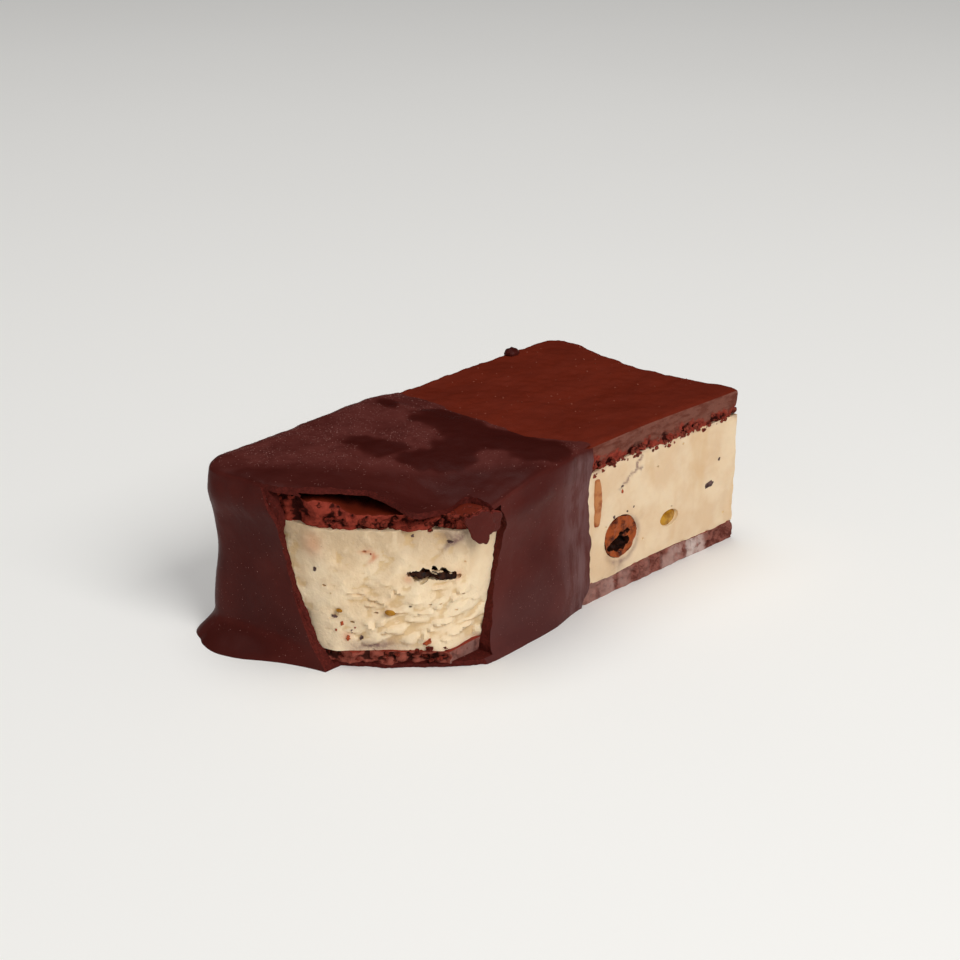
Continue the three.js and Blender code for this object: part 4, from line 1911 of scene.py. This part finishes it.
        def shape(points: Array) -> Array:
            """Leans and roughens the column's two inner sides.

            Args:
                points: Places on the plain column.

            Returns:
                The moved places.
            """
            x, y, z = points.T
            share = z / tall
            level = foot + (brow - foot) * share
            right = self.right_break_x + self.right_lean * level - 2.8 * ramp(level, 27, 33)
            right = right + 0.3 * swell(y, level, 5.1, 2) + 0.2 * swell(y, level, 1.9)
            left = self.left_break(level) + 0.3 * swell(x, level, 4.3, 5) + 0.2 * swell(x, level, 1.8)
            new_x, new_y = right - wide + x, left - wide + y
            top = form.top(new_x, new_y) - 0.7
            return np.column_stack([new_x, new_y, foot + (top - foot) * share])

        return Bench.warp(obj, shape)

    def bite(self, broken: Material) -> Object:
        """Makes the body that the bite takes from the shell's top and floor, up to the left wall.

        Args:
            broken: The finish of the broken edge.

        Returns:
            The closed body.
        """

        def set_back(along: Array, z: Array) -> Array:
            """The bays and tongues of the shell's top edge."""
            edge = sum(depth * bump(along, place, half) for place, half, depth in self.bays)
            return ramp(z, 22, 31) * edge

        reliefs = ((Relief.SWELLS, 5, 1.6), (Relief.SWELLS, 1.6, 0.9), (Relief.CREASES, 0.8, 0.4))
        cutter = BiteCutter(self.form, set_back, reliefs).build(broken)
        limit = Bench.cube("before_left_wall", (-200, -100, -50), (200, 0, 60))
        dress(limit, broken)
        Bench.divide(limit, 1.0, Axis.Z)

        def lean(points: Array) -> Array:
            """Moves the side at Y = 0 to the left wall's break.

            Args:
                points: Places on the plain box.

            Returns:
                The moved places.
            """
            p = points.copy()
            p[:, 1] += self.left_break(np.clip(p[:, 2], 0, self.form.height))
            return p

        Bench.cut(cutter, Bench.warp(limit, lean), Cut.KEEP_COMMON)
        return cutter


# --- Pieces in and on the bar ---


@dataclass
class HollowNut:
    """A nut sliced open by the knife, with a ragged empty middle.

    Each hollow holds its offset from the nut's middle on the cut side, and its radii.
    """

    form: BarForm
    radii: Triple = (5.2, 5.3, 4.7)
    slice_half: float = 9.0
    hollows: Sequence[Rows] = (
        ((-0.6, -0.5, -1.5), (3.3, 3.8, 1.8)),
        ((1.6, -0.2, 0.5), (1.9, 1.3, 0.5)),
    )

    def build(self) -> Object:
        """Makes the nut.

        Returns:
            The nut.
        """
        face_y = -self.form.half_width
        x, z = self.form.nut_at
        half = self.slice_half
        obj = Bench.ball("sliced_nut", (x, face_y + 0.4, z), self.radii, 5)
        dress(obj, NutMeat("nut_skin", Tone(120, 52, 24), Tone(66, 26, 14)).material())
        Bench.roughen(obj, 3.0, 0.9)
        low, high = (x - half, face_y - half, z - half), (x + half, face_y - 0.15, z + half)
        slice_off = Bench.cube("slice", low, high)
        dress(slice_off, NutMeat("nut_cut", Tone(158, 76, 34), Tone(70, 25, 12), 0.5, 2.4).material())
        Bench.divide(slice_off, 0.4, Axis.X, Axis.Z)
        Bench.roughen(slice_off, 2.2, 1.6, "", "Y")
        Bench.cut(obj, slice_off)
        for offset, radii in self.hollows:
            self.open_middle(obj, np.add((x, face_y, z), offset), radii)
        Bench.smooth(obj, 45)
        return obj

    def open_middle(self, obj: Object, centre: Row, radii: Row) -> None:
        """Takes a ragged hollow out of the nut, lined with near-black painted shade.

        Args:
            obj: The nut.
            centre: The hollow's middle.
            radii: The hollow's radii.
        """
        hollow = Bench.ball("hollow", centre, radii, 4)
        # Painted shade: the hollow's walls are coloured dark brown to near black.
        dress(hollow, Morsel("nut_hollow_shade", Tone(50, 21, 10), Tone(20, 8, 4)).material())
        Bench.roughen(hollow, 2.0, 2.4)
        Bench.cut(obj, hollow)


@dataclass
class AlmondSliver:
    """A flaked almond on edge beside the dip line."""

    narrowing: float = 0.45
    bowing: float = 0.35

    def build(self) -> Object:
        """Makes the sliver to the size of its node.

        Returns:
            The sliver.
        """
        low, high = (np.array(corner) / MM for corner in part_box("almond_sliver"))
        obj = Bench.cube("almond_flake", low, high)
        Bench.round_edges(obj, 0.5, 3)
        Bench.divide(obj, 0.5, Axis.Z)
        Bench.divide(obj, 0.7, Axis.Y)
        middle = (low[2] + high[2]) / 2
        reach = (high[2] - low[2]) / 2

        def bow(points: Array) -> Array:
            """Bows the sliver and narrows its two ends.

            Args:
                points: Places on the straight sliver.

            Returns:
                The bowed places.
            """
            p = points.copy()
            share = (p[:, 2] - middle) / reach
            centre = (low[0] + high[0]) / 2
            narrowed = (p[:, 0] - centre) * (1 - self.narrowing * share**2)
            p[:, 0] = centre + narrowed - self.bowing * share**2 + 0.1
            p[:, 1] -= 0.45
            return p

        Bench.warp(obj, bow)
        Bench.soften(obj)
        Bench.roughen(obj, 1.6, 0.3)
        dress(obj, NutMeat("almond_flesh", Tone(186, 122, 74), Tone(146, 74, 40), 0.5, 2.4).material())
        Bench.smooth(obj, 60)
        return obj


@dataclass
class ChocolateShard:
    """The dark broken piece lying in its slot in the bitten face, coloured near black: dark chocolate with
    painted shade of the slot.
    """

    form: BarForm
    sunk: float = 2.7

    def build(self) -> Object:
        """Makes the shard.

        Returns:
            The shard.
        """
        obj = Bench.cube("dark_shard", (-4.6, -1.6, -0.75), (4.6, 2.6, 0.75))
        Bench.round_edges(obj, 0.3, 2)
        Bench.divide(obj, 0.35, *Axis)
        Bench.roughen(obj, 1.9, 2.0)
        Bench.roughen(obj, 1.1, 0.8, relief=Relief.CREASES)
        along, z = self.form.shard_at
        Bench.place(obj, self.form.shard_turn, self.form.on_bite(along, z - 0.2, self.sunk))
        # Dark chocolate darkened to near black as painted shade of the slot.
        dress(obj, Morsel("shard_in_painted_shade", Tone(26, 11, 7), Tone(62, 30, 14), 0.5).material())
        Bench.smooth(obj, 40)
        return obj


@dataclass
class WallFlake:
    """A chip of the shell that hangs at the bite's upper right corner, drawn to a point and curled."""

    name: str
    node: str
    point: float
    curl: float
    turn: Pair

    def build(self, face: Material, edge: Material) -> Object:
        """Makes the chip to the size of its node.

        Args:
            face: The set chocolate's finish.
            edge: The finish of its broken rim.

        Returns:
            The chip, curled and turned into place.
        """
        low, high = (np.array(corner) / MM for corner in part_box(self.node))
        width, height = high[0] - low[0], high[2] - low[2]
        half = np.array([width / 2, 0.5, height / 2])
        obj = Bench.cube(self.name, -half, half)
        dress(obj, face, edge)
        Bench.round_edges(obj, 0.25, 2)
        paint(obj, 1, lambda _, normals: np.abs(normals[:, Axis.Y.value]) < 0.5)
        Bench.divide(obj, 0.3, Axis.X, Axis.Z)

        def shape(points: Array) -> Array:
            """Rounds the chip's outline, draws it to a point and curls it.

            Args:
                points: Places on the plain chip.

            Returns:
                The shaped places.
            """
            p = points.copy()
            across, up = 2 * p[:, 0] / width, 2 * p[:, 2] / height
            p[:, 0] *= np.sqrt(1 - 0.4 * up**2)
            p[:, 2] *= np.sqrt(1 - 0.4 * across**2)
            down = np.clip(0.5 - p[:, 2] / height, 0, 1)
            p[:, 0] = p[:, 0] * (1 - self.point * down**1.6) + 0.1 * width * down
            p[:, 0] += 0.25 * np.sin(p[:, 2] * 1.9 + width)
            p[:, 1] += self.curl * (p[:, 0] / width) ** 2
            p[:, 2] += 0.3 * np.sin(p[:, 0] * 1.3) + 0.15 * np.sin(p[:, 0] * 3.7)
            return p

        Bench.warp(obj, shape)
        Bench.soften(obj)
        Bench.roughen(obj, 1.8, 0.4)
        turn = Matrix.Rotation(self.turn[0], 3, "Z") @ Matrix.Rotation(self.turn[1], 3, "X")
        Bench.place(obj, turn, (low + high) / 2)
        Bench.smooth(obj, 40)
        return obj


@dataclass
class Scatter:
    """Many small bits of one kind, joined into one piece."""

    name: str
    material: Material
    rng: random.Random
    detail: int = 2
    parts: list[Object] = field(default_factory=list)

    def add(self, spot: Row, radii: Row, jagged: float = 0.35) -> None:
        """Adds one lumpy bit.

        Args:
            spot: Its middle, in millimetres.
            radii: Its three radii, in millimetres.
            jagged: How uneven it is, as a share of its size.
        """
        bit = Bench.ball("bit", (0, 0, 0), (1, 1, 1), self.detail)
        points = Bench.points(bit)
        lumps = 1 + jagged * np.array([self.rng.uniform(-1, 1) for _ in range(len(points))])
        angle = self.rng.uniform(-0.5, 0.5)
        turn = Matrix.Rotation(angle, 3, Vector((self.rng.random(), 1, 0.4)).normalized())
        Bench.place_points(bit, points * lumps[:, None] * np.array(radii))
        Bench.place(bit, turn, spot)
        self.parts.append(bit)

    def add_crumb(
        self, spot: Row, sizes: Row, flattest: float = 0.9, jagged: float = 0.35
    ) -> None:
        """Adds one crumb of random size.

        Args:
            spot: Its middle, in millimetres.
            sizes: The least, the greatest and the usual radius.
            flattest: The greatest share of its radius that it is high.
            jagged: How uneven it is, as a share of its size.
        """
        size = self.rng.triangular(*sizes)
        deep, high = size * self.rng.uniform(0.7, 1.1), size * self.rng.uniform(0.5, flattest)
        self.add(spot, (size, deep, high), jagged)

    def finish(self, angle: float = 40) -> Object:
        """Joins the bits and dresses them.

        Args:
            angle: The angle up to which edges are smooth.

        Returns:
            The joined bits.
        """
        obj = Bench.join(self.name, self.parts)
        dress(obj, self.material)
        Bench.smooth(obj, angle)
        return obj


@dataclass
class Crumbs:
    """Biscuit crumbs at the bite, on the cut sides and on the top edge."""

    form: BarForm
    bite_count: int = 70
    ledge_count: int = 46
    foot_count: int = 60
    side_count: int = 95
    end_count: int = 90
    edge_x: float = 42.8
    edge_radii: Triple = (1.9, 1.6, 1.35)

    def at_bite(self, material: Material) -> Object:
        """Makes the crumbs of both biscuits' bitten faces.

        Args:
            material: Their finish.

        Returns:
            The crumbs.
        """
        rng, form = random.Random(SEED + 1), self.form
        crumbs = Scatter("bite_crumbs", material, rng)
        for _ in range(self.bite_count):
            along = rng.uniform(-1, 31.5)
            base = form.on_bite(along, 30)
            low = form.height_at(form.filling_top, base.x, base.y)
            high = form.height_at(form.top, base.x, base.y) - float(form.slit(np.array(along)))
            z = rng.uniform(low - 0.3, high - 0.8)
            crumbs.add_crumb(form.on_bite(along, z, rng.uniform(0.6, 1.8)), (0.25, 1.1, 0.45), jagged=0.22)
        for _ in range(self.ledge_count):
            along = rng.uniform(-3, 6)
            spot = form.on_bite(along, 32, rng.uniform(0.8, 4.0))
            spot.z = form.height_at(form.top, spot.x, spot.y) - 0.3
            crumbs.add_crumb(spot, (0.25, 0.9, 0.4), 0.8)
        for _ in range(self.foot_count):
            along = rng.uniform(0, 30)
            z = rng.uniform(1.2, 3.9)
            crumbs.add_crumb(form.on_bite(along, z, rng.uniform(0.2, 1.6)), (0.2, 0.9, 0.4))
        return crumbs.finish()

    def at_cut(self, material: Material) -> Object:
        """Makes the crumbs along the undersides of the upper biscuit's cut sides.

        Args:
            material: Their finish.

        Returns:
            The crumbs.
        """
        rng, form = random.Random(SEED + 2), self.form
        crumbs = Scatter("cut_crumbs", material, rng)
        for side in (-1, 1):
            for _ in range(self.side_count):
                x = rng.uniform(9.5, 59.5)
                y = side * (form.half_width + rng.uniform(-0.4, 0.0))
                low = form.height_at(form.filling_top, x, y)
                size = rng.triangular(0.25, 1.0, 0.45)
                z = low + rng.triangular(-1.2, 1.8, -0.2)
                crumbs.add((x, y, z), (size, size * 0.55, size * rng.uniform(0.6, 0.9)))
        for _ in range(self.end_count):
            y = rng.uniform(-26, 26)
            hollow = form.hollow * (1 - (y / form.half_width) ** 2)
            x = form.end - hollow - rng.uniform(-0.1, 0.4)
            low = form.height_at(form.filling_top, x, y)
            size = rng.triangular(0.16, 0.6, 0.26)
            crumbs.add((x, y, low + rng.triangular(-0.8, 2.4, 0.1)), (size * 0.7, size, size * 0.8))
        return crumbs.finish()

    def on_edge(self, material: Material) -> Object:
        """Makes the one large crumb stuck to the far top edge.

        Args:
            material: Its finish.

        Returns:
            The crumb.
        """
        crumb = Scatter("edge_crumb", material, random.Random(SEED + 3), 3)
        spot = (self.edge_x, self.form.half_width - 1.4, self.form.height + 0.4)
        crumb.add(spot, self.edge_radii, 0.1)
        return crumb.finish(60)


@dataclass
class Dusting:
    """Tiny grains lying on one side of a piece, all in one mesh."""

    name: str
    count: int
    spread: tuple[Pair, Pair]
    sizes: Pair
    keep: Test
    seed: int
    axis: Axis = Axis.Z

    def ray(self, first: float, second: float) -> tuple[Vector, Vector]:
        """A ray along the axis: down from above, or inwards from the dipped end or the right side.

        Args:
            first: The first coordinate across the axis.
            second: The second one.

        Returns:
            The ray's start and direction.
        """
        if self.axis is Axis.Z:
            return Vector((first, second, 60)), Vector((0, 0, -1))
        if self.axis is Axis.Y:
            return Vector((first, -60, second)), Vector((0, 1, 0))
        return Vector((-90, first, second)), Vector((1, 0, 0))

    def build(self, ground: Object, material: Material) -> Object:
        """Makes the grains and sets them on the ground piece.

        Args:
            ground: The piece that they lie on.
            material: Their finish.

        Returns:
            The grains.
        """
        rng = np.random.default_rng(self.seed)
        (low_x, high_x), (low_y, high_y) = self.spread
        first, second = rng.uniform(low_x, high_x, self.count), rng.uniform(low_y, high_y, self.count)
        kept = self.keep(first, second)
        spots = []
        for start, way in map(self.ray, first[kept], second[kept]):
            hit, place, normal, _ = ground.ray_cast(start * MM, way)
            if hit and normal.dot(way) < -0.6:
                spots.append(place / MM)
        obj = Bench.ball(self.name, (0, 0, 0), (1, 1, 1), 1)
        each = len(obj.data.vertices)
        Bench.apply(
            obj,
            "ARRAY",
            count=len(spots),
            use_relative_offset=False,
            use_constant_offset=True,
            constant_offset_displace=(0, 0, 0),
        )
        points = Bench.points(obj).reshape(len(spots), each, 3)
        sizes = rng.uniform(*self.sizes, (len(spots), 1, 1)) * rng.uniform(0.6, 1.3, (len(spots), 1, 3))
        points = points * sizes * rng.uniform(0.7, 1.2, points.shape) + np.array(spots)[:, None, :]
        Bench.place_points(obj, points.reshape(-1, 3))
        dress(obj, material)
        return obj


@dataclass
class Inclusions:
    """Small things set in the ice cream: nut skins, chocolate flakes, caramel, torn cream and the amber
    body whose colour is painted light glowing in a pit.

    Each row holds two places, along X or the bite and along Z, and the bit's half sizes there.
    """

    form: BarForm
    cream: Object
    dark_on_cut: Rows = (
        (50.6, 15.5, 2.0, 0.7), (54.6, 20.6, 0.5, 0.5), (20.6, 23.9, 0.6, 0.25), (16.0, 15.0, 0.8, 0.6),
        (18.4, 17.4, 0.5, 0.4), (22.6, 17.6, 0.35, 0.3), (24.8, 18.0, 0.3, 0.25),
    )
    dark_on_bite: Rows = (
        (31.4, 20.0, 0.7, 0.5), (4.6, 26.1, 1.1, 0.3), (22.5, 5.9, 0.6, 0.7), (27.8, 10.3, 1.1, 0.3),
        (30.0, 25.0, 0.35, 0.3), (24.5, 7.6, 0.4, 0.35), (12.0, 27.2, 0.7, 0.3),
    )
    red_on_bite: Rows = (
        (20.4, 23.9, 0.35, 0.25), (26.4, 9.1, 0.6, 0.5), (25.3, 6.3, 0.6, 0.6),
        (27.6, 7.6, 0.4, 0.3), (23.8, 8.4, 0.35, 0.3), (9.5, 5.2, 1.3, 0.5),
    )

    def strike(self, start: Vector, way: Vector, sunk: float) -> Vector:
        """The place where a line meets the ice cream, moved on by a distance in millimetres."""
        hit, place, _, _ = self.cream.ray_cast(start * MM, way)
        return (place / MM if hit else start) + way * sunk

    def on_cut(self, x: float, z: float, sunk: float = 0.1) -> Vector:
        """A place on the cut side."""
        return self.strike(Vector((x, -60, z)), Vector((0, 1, 0)), sunk)

    def on_bite(self, along: float, z: float, sunk: float = 0.1) -> Vector:
        """A place on the bitten face."""
        way = Vector((-self.form.out[0], -self.form.out[1], 0))
        return self.strike(self.form.on_bite(along, z, -12), way, sunk)

    def dark(self, material: Material) -> Object:
        """Makes the dark flakes in the cut side and the bitten face.

        Args:
            material: Their finish.

        Returns:
            The flakes.
        """
        bits = Scatter("dark_flakes", material, random.Random(SEED + 4))
        for x, z, half_x, half_z in self.dark_on_cut:
            bits.add(self.on_cut(x, z), (half_x, 0.22, half_z), 0.3)
        for along, z, half_u, half_z in self.dark_on_bite:
            bits.add(self.on_bite(along, z, 0.3), (half_u * 0.75, half_u * 0.6, half_z), 0.4)
        return bits.finish()

    def red(self, material: Material) -> Object:
        """Makes the orange-red bits of nut skin in the bitten face.

        Args:
            material: Their finish.

        Returns:
            The bits.
        """
        bits = Scatter("nut_skins", material, random.Random(SEED + 5))
        for along, z, half_u, half_z in self.red_on_bite:
            bits.add(self.on_bite(along, z, 0.12), (half_u * 0.75, half_u * 0.6, half_z), 0.3)
        bits.add(self.on_cut(20.6, 22.9), (0.4, 0.2, 0.7), 0.3)
        return bits.finish()

    def caramel_and_pit_glow(self, material: Material) -> Object:
        """Makes the amber body in the pit, whose colour is a painted glow of light bouncing inside the
        hollow, and the bits of caramel in the bitten face.

        Args:
            material: Their finish.

        Returns:
            The drops.
        """
        bits = Scatter("caramel_bits_and_pit_glow", material, random.Random(SEED + 6), 4)
        glow_x, glow_z = self.form.pit_glow_at
        # Painted glow: this amber body fills the pit with the colour of light bouncing inside it.
        bits.add((glow_x - 0.3, 0.95 - self.form.half_width, glow_z - 0.05), (3.1, 1.1, 2.0), 0.015)
        bits.add(self.on_bite(16.8, 12.0, 0.25), (1.2, 1.0, 0.5), 0.04)
        bits.add(self.on_bite(26.8, 11.6, 0.25), (0.9, 0.7, 0.4), 0.04)
        return bits.finish(80)

    def torn(self, material: Material) -> Object:
        """Makes the crumbs of cream that hang across the shard's slot.

        Args:
            material: Their finish.

        Returns:
            The crumbs of cream.
        """
        rng = random.Random(SEED + 9)
        bits = Scatter("cream_crumbs", material, rng, 3)
        shard_z = self.form.shard_at[1]
        for along in (4.6, 6.6, 7.4, 8.3, 9.4, 11.6):
            size = rng.uniform(0.35, 0.7)
            spot = self.form.on_bite(along, shard_z + rng.uniform(-0.9, 0.5), rng.uniform(0.7, 1.2))
            bits.add(spot, (size, size, size * 0.6), 0.12)
        return bits.finish(70)


# --- Studio ---


@dataclass(frozen=True)
class Studio:
    """The floor, the soft lights and the camera, which is placed in millimetres."""

    camera_at: Triple = (-320.9, -308.5, 200.4)
    camera_way: Triple = (0.67524, 0.63895, -0.36850)
    lens: float = 83.83
    floor_size: float = 8.0
    room_light: float = 0.2
    lit_at: Triple = (0.0, 0.0, 0.02)

    def floor(self) -> None:
        """Lays the pale floor."""
        Bench.clear()
        bpy.ops.mesh.primitive_plane_add(size=self.floor_size)
        floor = bpy.context.active_object
        floor.name = "studio_floor"
        dress(floor, PaleFloor().material())

    def light(
        self, name: str, at: Row, size: float, power: float, colour: Row
    ) -> None:
        """Hangs one square soft light that points at the bar, with its place and size in metres.

        Args:
            name: Its name.
            at: Its place.
            size: Its side's length.
            power: Its power in watts.
            colour: Its colour.
        """
        data = bpy.data.lights.new(name, "AREA")
        data.shape = "SQUARE"
        data.size = size
        data.energy = power
        data.color = colour
        lamp = bpy.data.objects.new(name, data)
        bpy.context.scene.collection.objects.link(lamp)
        lamp.location = at
        lamp.rotation_euler = (Vector(self.lit_at) - Vector(at)).to_track_quat("-Z", "Y").to_euler()

    def lights(self) -> None:
        """Hangs the lights and sets the room's soft light."""
        self.light("key_light", (-0.15, -0.95, 0.85), 0.7, 10.5, (1.0, 0.99, 0.97))
        self.light("fill_light", (-0.9, -0.3, 0.5), 0.8, 0.45, (0.97, 0.98, 1.0))
        self.light("top_light", (0.1, 0.3, 1.3), 0.9, 6.5, (1.0, 1.0, 1.0))
        world = bpy.data.worlds.new("soft_room")
        world.use_nodes = True
        background = world.node_tree.nodes["Background"]
        background.inputs["Color"].default_value = (1.0, 1.0, 1.0, 1)
        background.inputs["Strength"].default_value = self.room_light
        world.cycles_visibility.glossy = False
        bpy.context.scene.world = world

    def camera(self) -> None:
        """Sets the camera at the angle from which the bar is shown."""
        data = bpy.data.cameras.new("camera")
        data.sensor_width = 36
        data.lens = self.lens
        data.clip_start = 0.01
        data.clip_end = 20
        camera = bpy.data.objects.new("camera", data)
        bpy.context.scene.collection.objects.link(camera)
        camera.location = Vector(self.camera_at) * MM
        camera.rotation_euler = Vector(self.camera_way).to_track_quat("-Z", "Y").to_euler()
        bpy.context.scene.camera = camera

    def build(self) -> None:
        """Sets up everything round the bar."""
        self.floor()
        self.lights()
        self.camera()
        bpy.context.scene.view_settings.view_transform = "Standard"


# --- Assembly ---


def upper_biscuit(form: BarForm) -> Object:
    """Makes the upper biscuit, sunk under the slit and broken off behind the bitten face.

    Args:
        form: The bar's form.

    Returns:
        The biscuit.
    """

    def set_back(along: Array, _: Array) -> Array:
        """How far the biscuit broke off behind the bitten face."""
        return 1.2 * bump(along, 11, 15) + 0.8 * bump(along, 3, 4) + 3.0 * ramp(along, 30.5, 35)

    obj = Biscuit(
        form,
        "upper_biscuit",
        lower=form.filling_top,
        upper=form.sunk_top,
        crumb=CocoaCrumb("upper_crumb", smear_from=31.4, smear_to=32.8).material(),
        bitten=CocoaCrumb("bitten_crumb").material(),
        skin=BakedTop().material(),
        thick=form.top_layer,
        soft=0.9,
        set_back=set_back,
        bite_rise=(24.0, 39.0),
        crumb_low=30.6,
        crumb_high=32.6,
    ).build()
    x, y, _ = Bench.points(obj).T
    sunk = form.top(x, y) - form.sunk_top(x, y)
    # Marks where the slit's painted shade covers the biscuit's top.
    Bench.mark(obj, "slit_painted_shade", ramp(sunk, 0.2, 1.2) * ramp(-form.off_bite(x, y)[1], -34.0, -31.2))
    return obj


def lower_biscuit(form: BarForm, floor: float) -> Object:
    """Makes the lower biscuit, frosted along its cut sides.

    Args:
        form: The bar's form.
        floor: How thick the chocolate is under its dipped half.

    Returns:
        The biscuit, with a flat underside.
    """

    def standing(x: Array, y: Array) -> Array:
        """The biscuit's underside, stepped up over the chocolate's floor."""
        return floor * ramp(form.dip_line(y, np.zeros_like(y)) - x, 0, 1)

    # Its dark and warm tones also give painted shade in hollows and painted light on ridges.
    bitten = CocoaCrumb("frosted_bite", Tone(122, 54, 44), Tone(44, 16, 12), Tone(158, 84, 70))
    obj = Biscuit(
        form,
        "lower_biscuit",
        lower=standing,
        upper=form.filling_bottom,
        crumb=FrostedCrumb().material(),
        bitten=bitten.material(),
        skin=CocoaCrumb("under_crumb").material(),
        thick=form.bottom_layer,
        soft=0.0,
        set_back=lambda along, _: 0.8 * bump(along, 11, 15),
        bite_rise=(-1.5, 8.0),
        crumb_low=5.4,
        crumb_high=6.4,
    ).build()
    corners = Bench.points(obj)
    corners[:, 2] = np.maximum(corners[:, 2], 0)
    Bench.place_points(obj, corners)
    x = corners[:, 0]
    rimed = 0.72 + 0.28 * (bump(x, 46, 4.5) + bump(x, 19, 3.6)) - 0.6 * bump(x, 27.5, 3.6)
    Bench.mark(obj, "frost", (0.7 + 0.3 * ramp(x, 20, 26)) * rimed * (1 - ramp(x, 50, 51.5)))
    return obj


def build_pieces() -> list[Piece]:
    """Makes every piece of the bar, in order.

    Returns:
        The pieces.
    """
    form = BarForm.from_frame()
    crumb = Morsel("crumb_bits", Tone(122, 48, 36), Tone(66, 22, 15), 0.8, 0.8, 0.06).material()
    sliced = Morsel("sliced_crumbs", Tone(136, 62, 48), Tone(78, 30, 22), 0.8, 0.9, 0.06).material()
    flakes = Morsel("dark_bits", Tone(104, 80, 78), Tone(58, 38, 34), 0.5, 1.0).material()
    skins = Morsel("skin_bits", Tone(176, 82, 46), Tone(142, 56, 32), 0.6, 0.8).material()
    # Amber for the caramel bits and for the painted glow in the pit.
    amber = Morsel("amber_bits_and_pit_glow", Tone(188, 138, 44), Tone(146, 96, 24), 0.25, 3.0).material()
    coat = ChocolateDip(form)
    upper, lower = upper_biscuit(form), lower_biscuit(form, coat.floor)
    dip = coat.build()
    face = dip.data.materials[0]
    rim = BrokenChocolate("chip_rim", Tone(96, 34, 28), Tone(134, 52, 42)).material()
    upper_flake = WallFlake("upper_chip", "shell_flake_upper", 0.35, -0.9, (-0.1, 0.1))
    lower_flake = WallFlake("lower_chip", "shell_flake_lower", 0.8, 1.1, (-0.35, -0.12))
    cream = IceCream(form).build()
    crumbs, bits = Crumbs(form), Inclusions(form, cream)
    grains = Morsel("frost_grains", Tone(150, 104, 96), Tone(112, 66, 60), 0.5).material()
    motes = Morsel("crumb_dust", Tone(150, 84, 66), Tone(116, 52, 38), 0.7).material()

    def in_drifts(x: Array, y: Array) -> Array:
        """Where frost grains cling to the dipped top: in drifts, and not on its bare patches.

        Args:
            x: Places along X.
            y: Places along Y.

        Returns:
            A flag for each place.
        """
        drifts = 0.5 + 0.5 * swell(x, y, 9, 2)
        scattered = 0.5 + 0.5 * np.sin(631 * x + 977 * y)
        return frost_and_sheen_cover(form, x, y) * (0.35 + 0.65 * drifts) > 0.25 + 0.6 * scattered

    def on_wall(first: Array, height: Array) -> Array:
        """Where grains cling to the walls: more and more towards the foot."""
        return 0.5 + 0.5 * np.sin(517 * first + 811 * height) > 0.35 + 0.5 * ramp(height, 4, 20)

    def anywhere(x: Array, _: Array) -> Array:
        """Keeps every grain."""
        return np.ones(len(x), dtype=bool)

    frost = Dusting("frost_grains", 9000, ((-56, 8), (-30, 32)), (0.05, 0.12), in_drifts, SEED + 7)
    side = Dusting("side_frost", 700, ((-20, 6), (1, 34)), (0.04, 0.09), on_wall, SEED + 10, Axis.Y)
    end = Dusting("end_frost", 700, ((-6, 24), (1, 34)), (0.04, 0.09), on_wall, SEED + 11, Axis.X)
    dust = Dusting("top_crumb_dust", 90, ((6, 58), (-26, 26)), (0.08, 0.22), anywhere, SEED + 8)
    return [
        Piece(cream, "ice_cream", ("ice_cream",)),
        Piece(upper, "cocoa_biscuit", ("top_biscuit",)),
        Piece(lower, "frosted_biscuit", ("bottom_biscuit",)),
        Piece(dip, "dark_chocolate", ("chocolate_dip",)),
        Piece(HollowNut(form).build(), "nut_flesh", ("hollow_nut",)),
        Piece(AlmondSliver().build(), "almond", ("almond_sliver",)),
        Piece(ChocolateShard(form).build(), "chocolate_piece", ("chocolate_shard",)),
        Piece(upper_flake.build(face, rim), "dark_chocolate", ("shell_flake_upper",)),
        Piece(lower_flake.build(face, rim), "dark_chocolate", ("shell_flake_lower",)),
        Piece(crumbs.at_bite(crumb), "cocoa_biscuit"),
        Piece(crumbs.at_cut(sliced), "cocoa_biscuit"),
        Piece(crumbs.on_edge(face), "dark_chocolate"),
        Piece(bits.dark(flakes), "chocolate_piece"),
        Piece(bits.red(skins), "nut_flesh"),
        Piece(bits.caramel_and_pit_glow(amber), "almond"),
        Piece(bits.torn(cream.data.materials[1]), "ice_cream"),
        Piece(frost.build(dip, grains), "dark_chocolate"),
        Piece(side.build(dip, grains), "dark_chocolate"),
        Piece(end.build(dip, grains), "dark_chocolate"),
        Piece(dust.build(upper, motes), "cocoa_biscuit"),
    ]


def main() -> None:
    """Builds the bar and the studio round it."""
    logging.basicConfig(level=logging.INFO, format="%(name)s %(message)s")
    for piece in build_pieces():
        piece.hand_over()
    Studio().build()


if __name__ == "__main__":
    main()
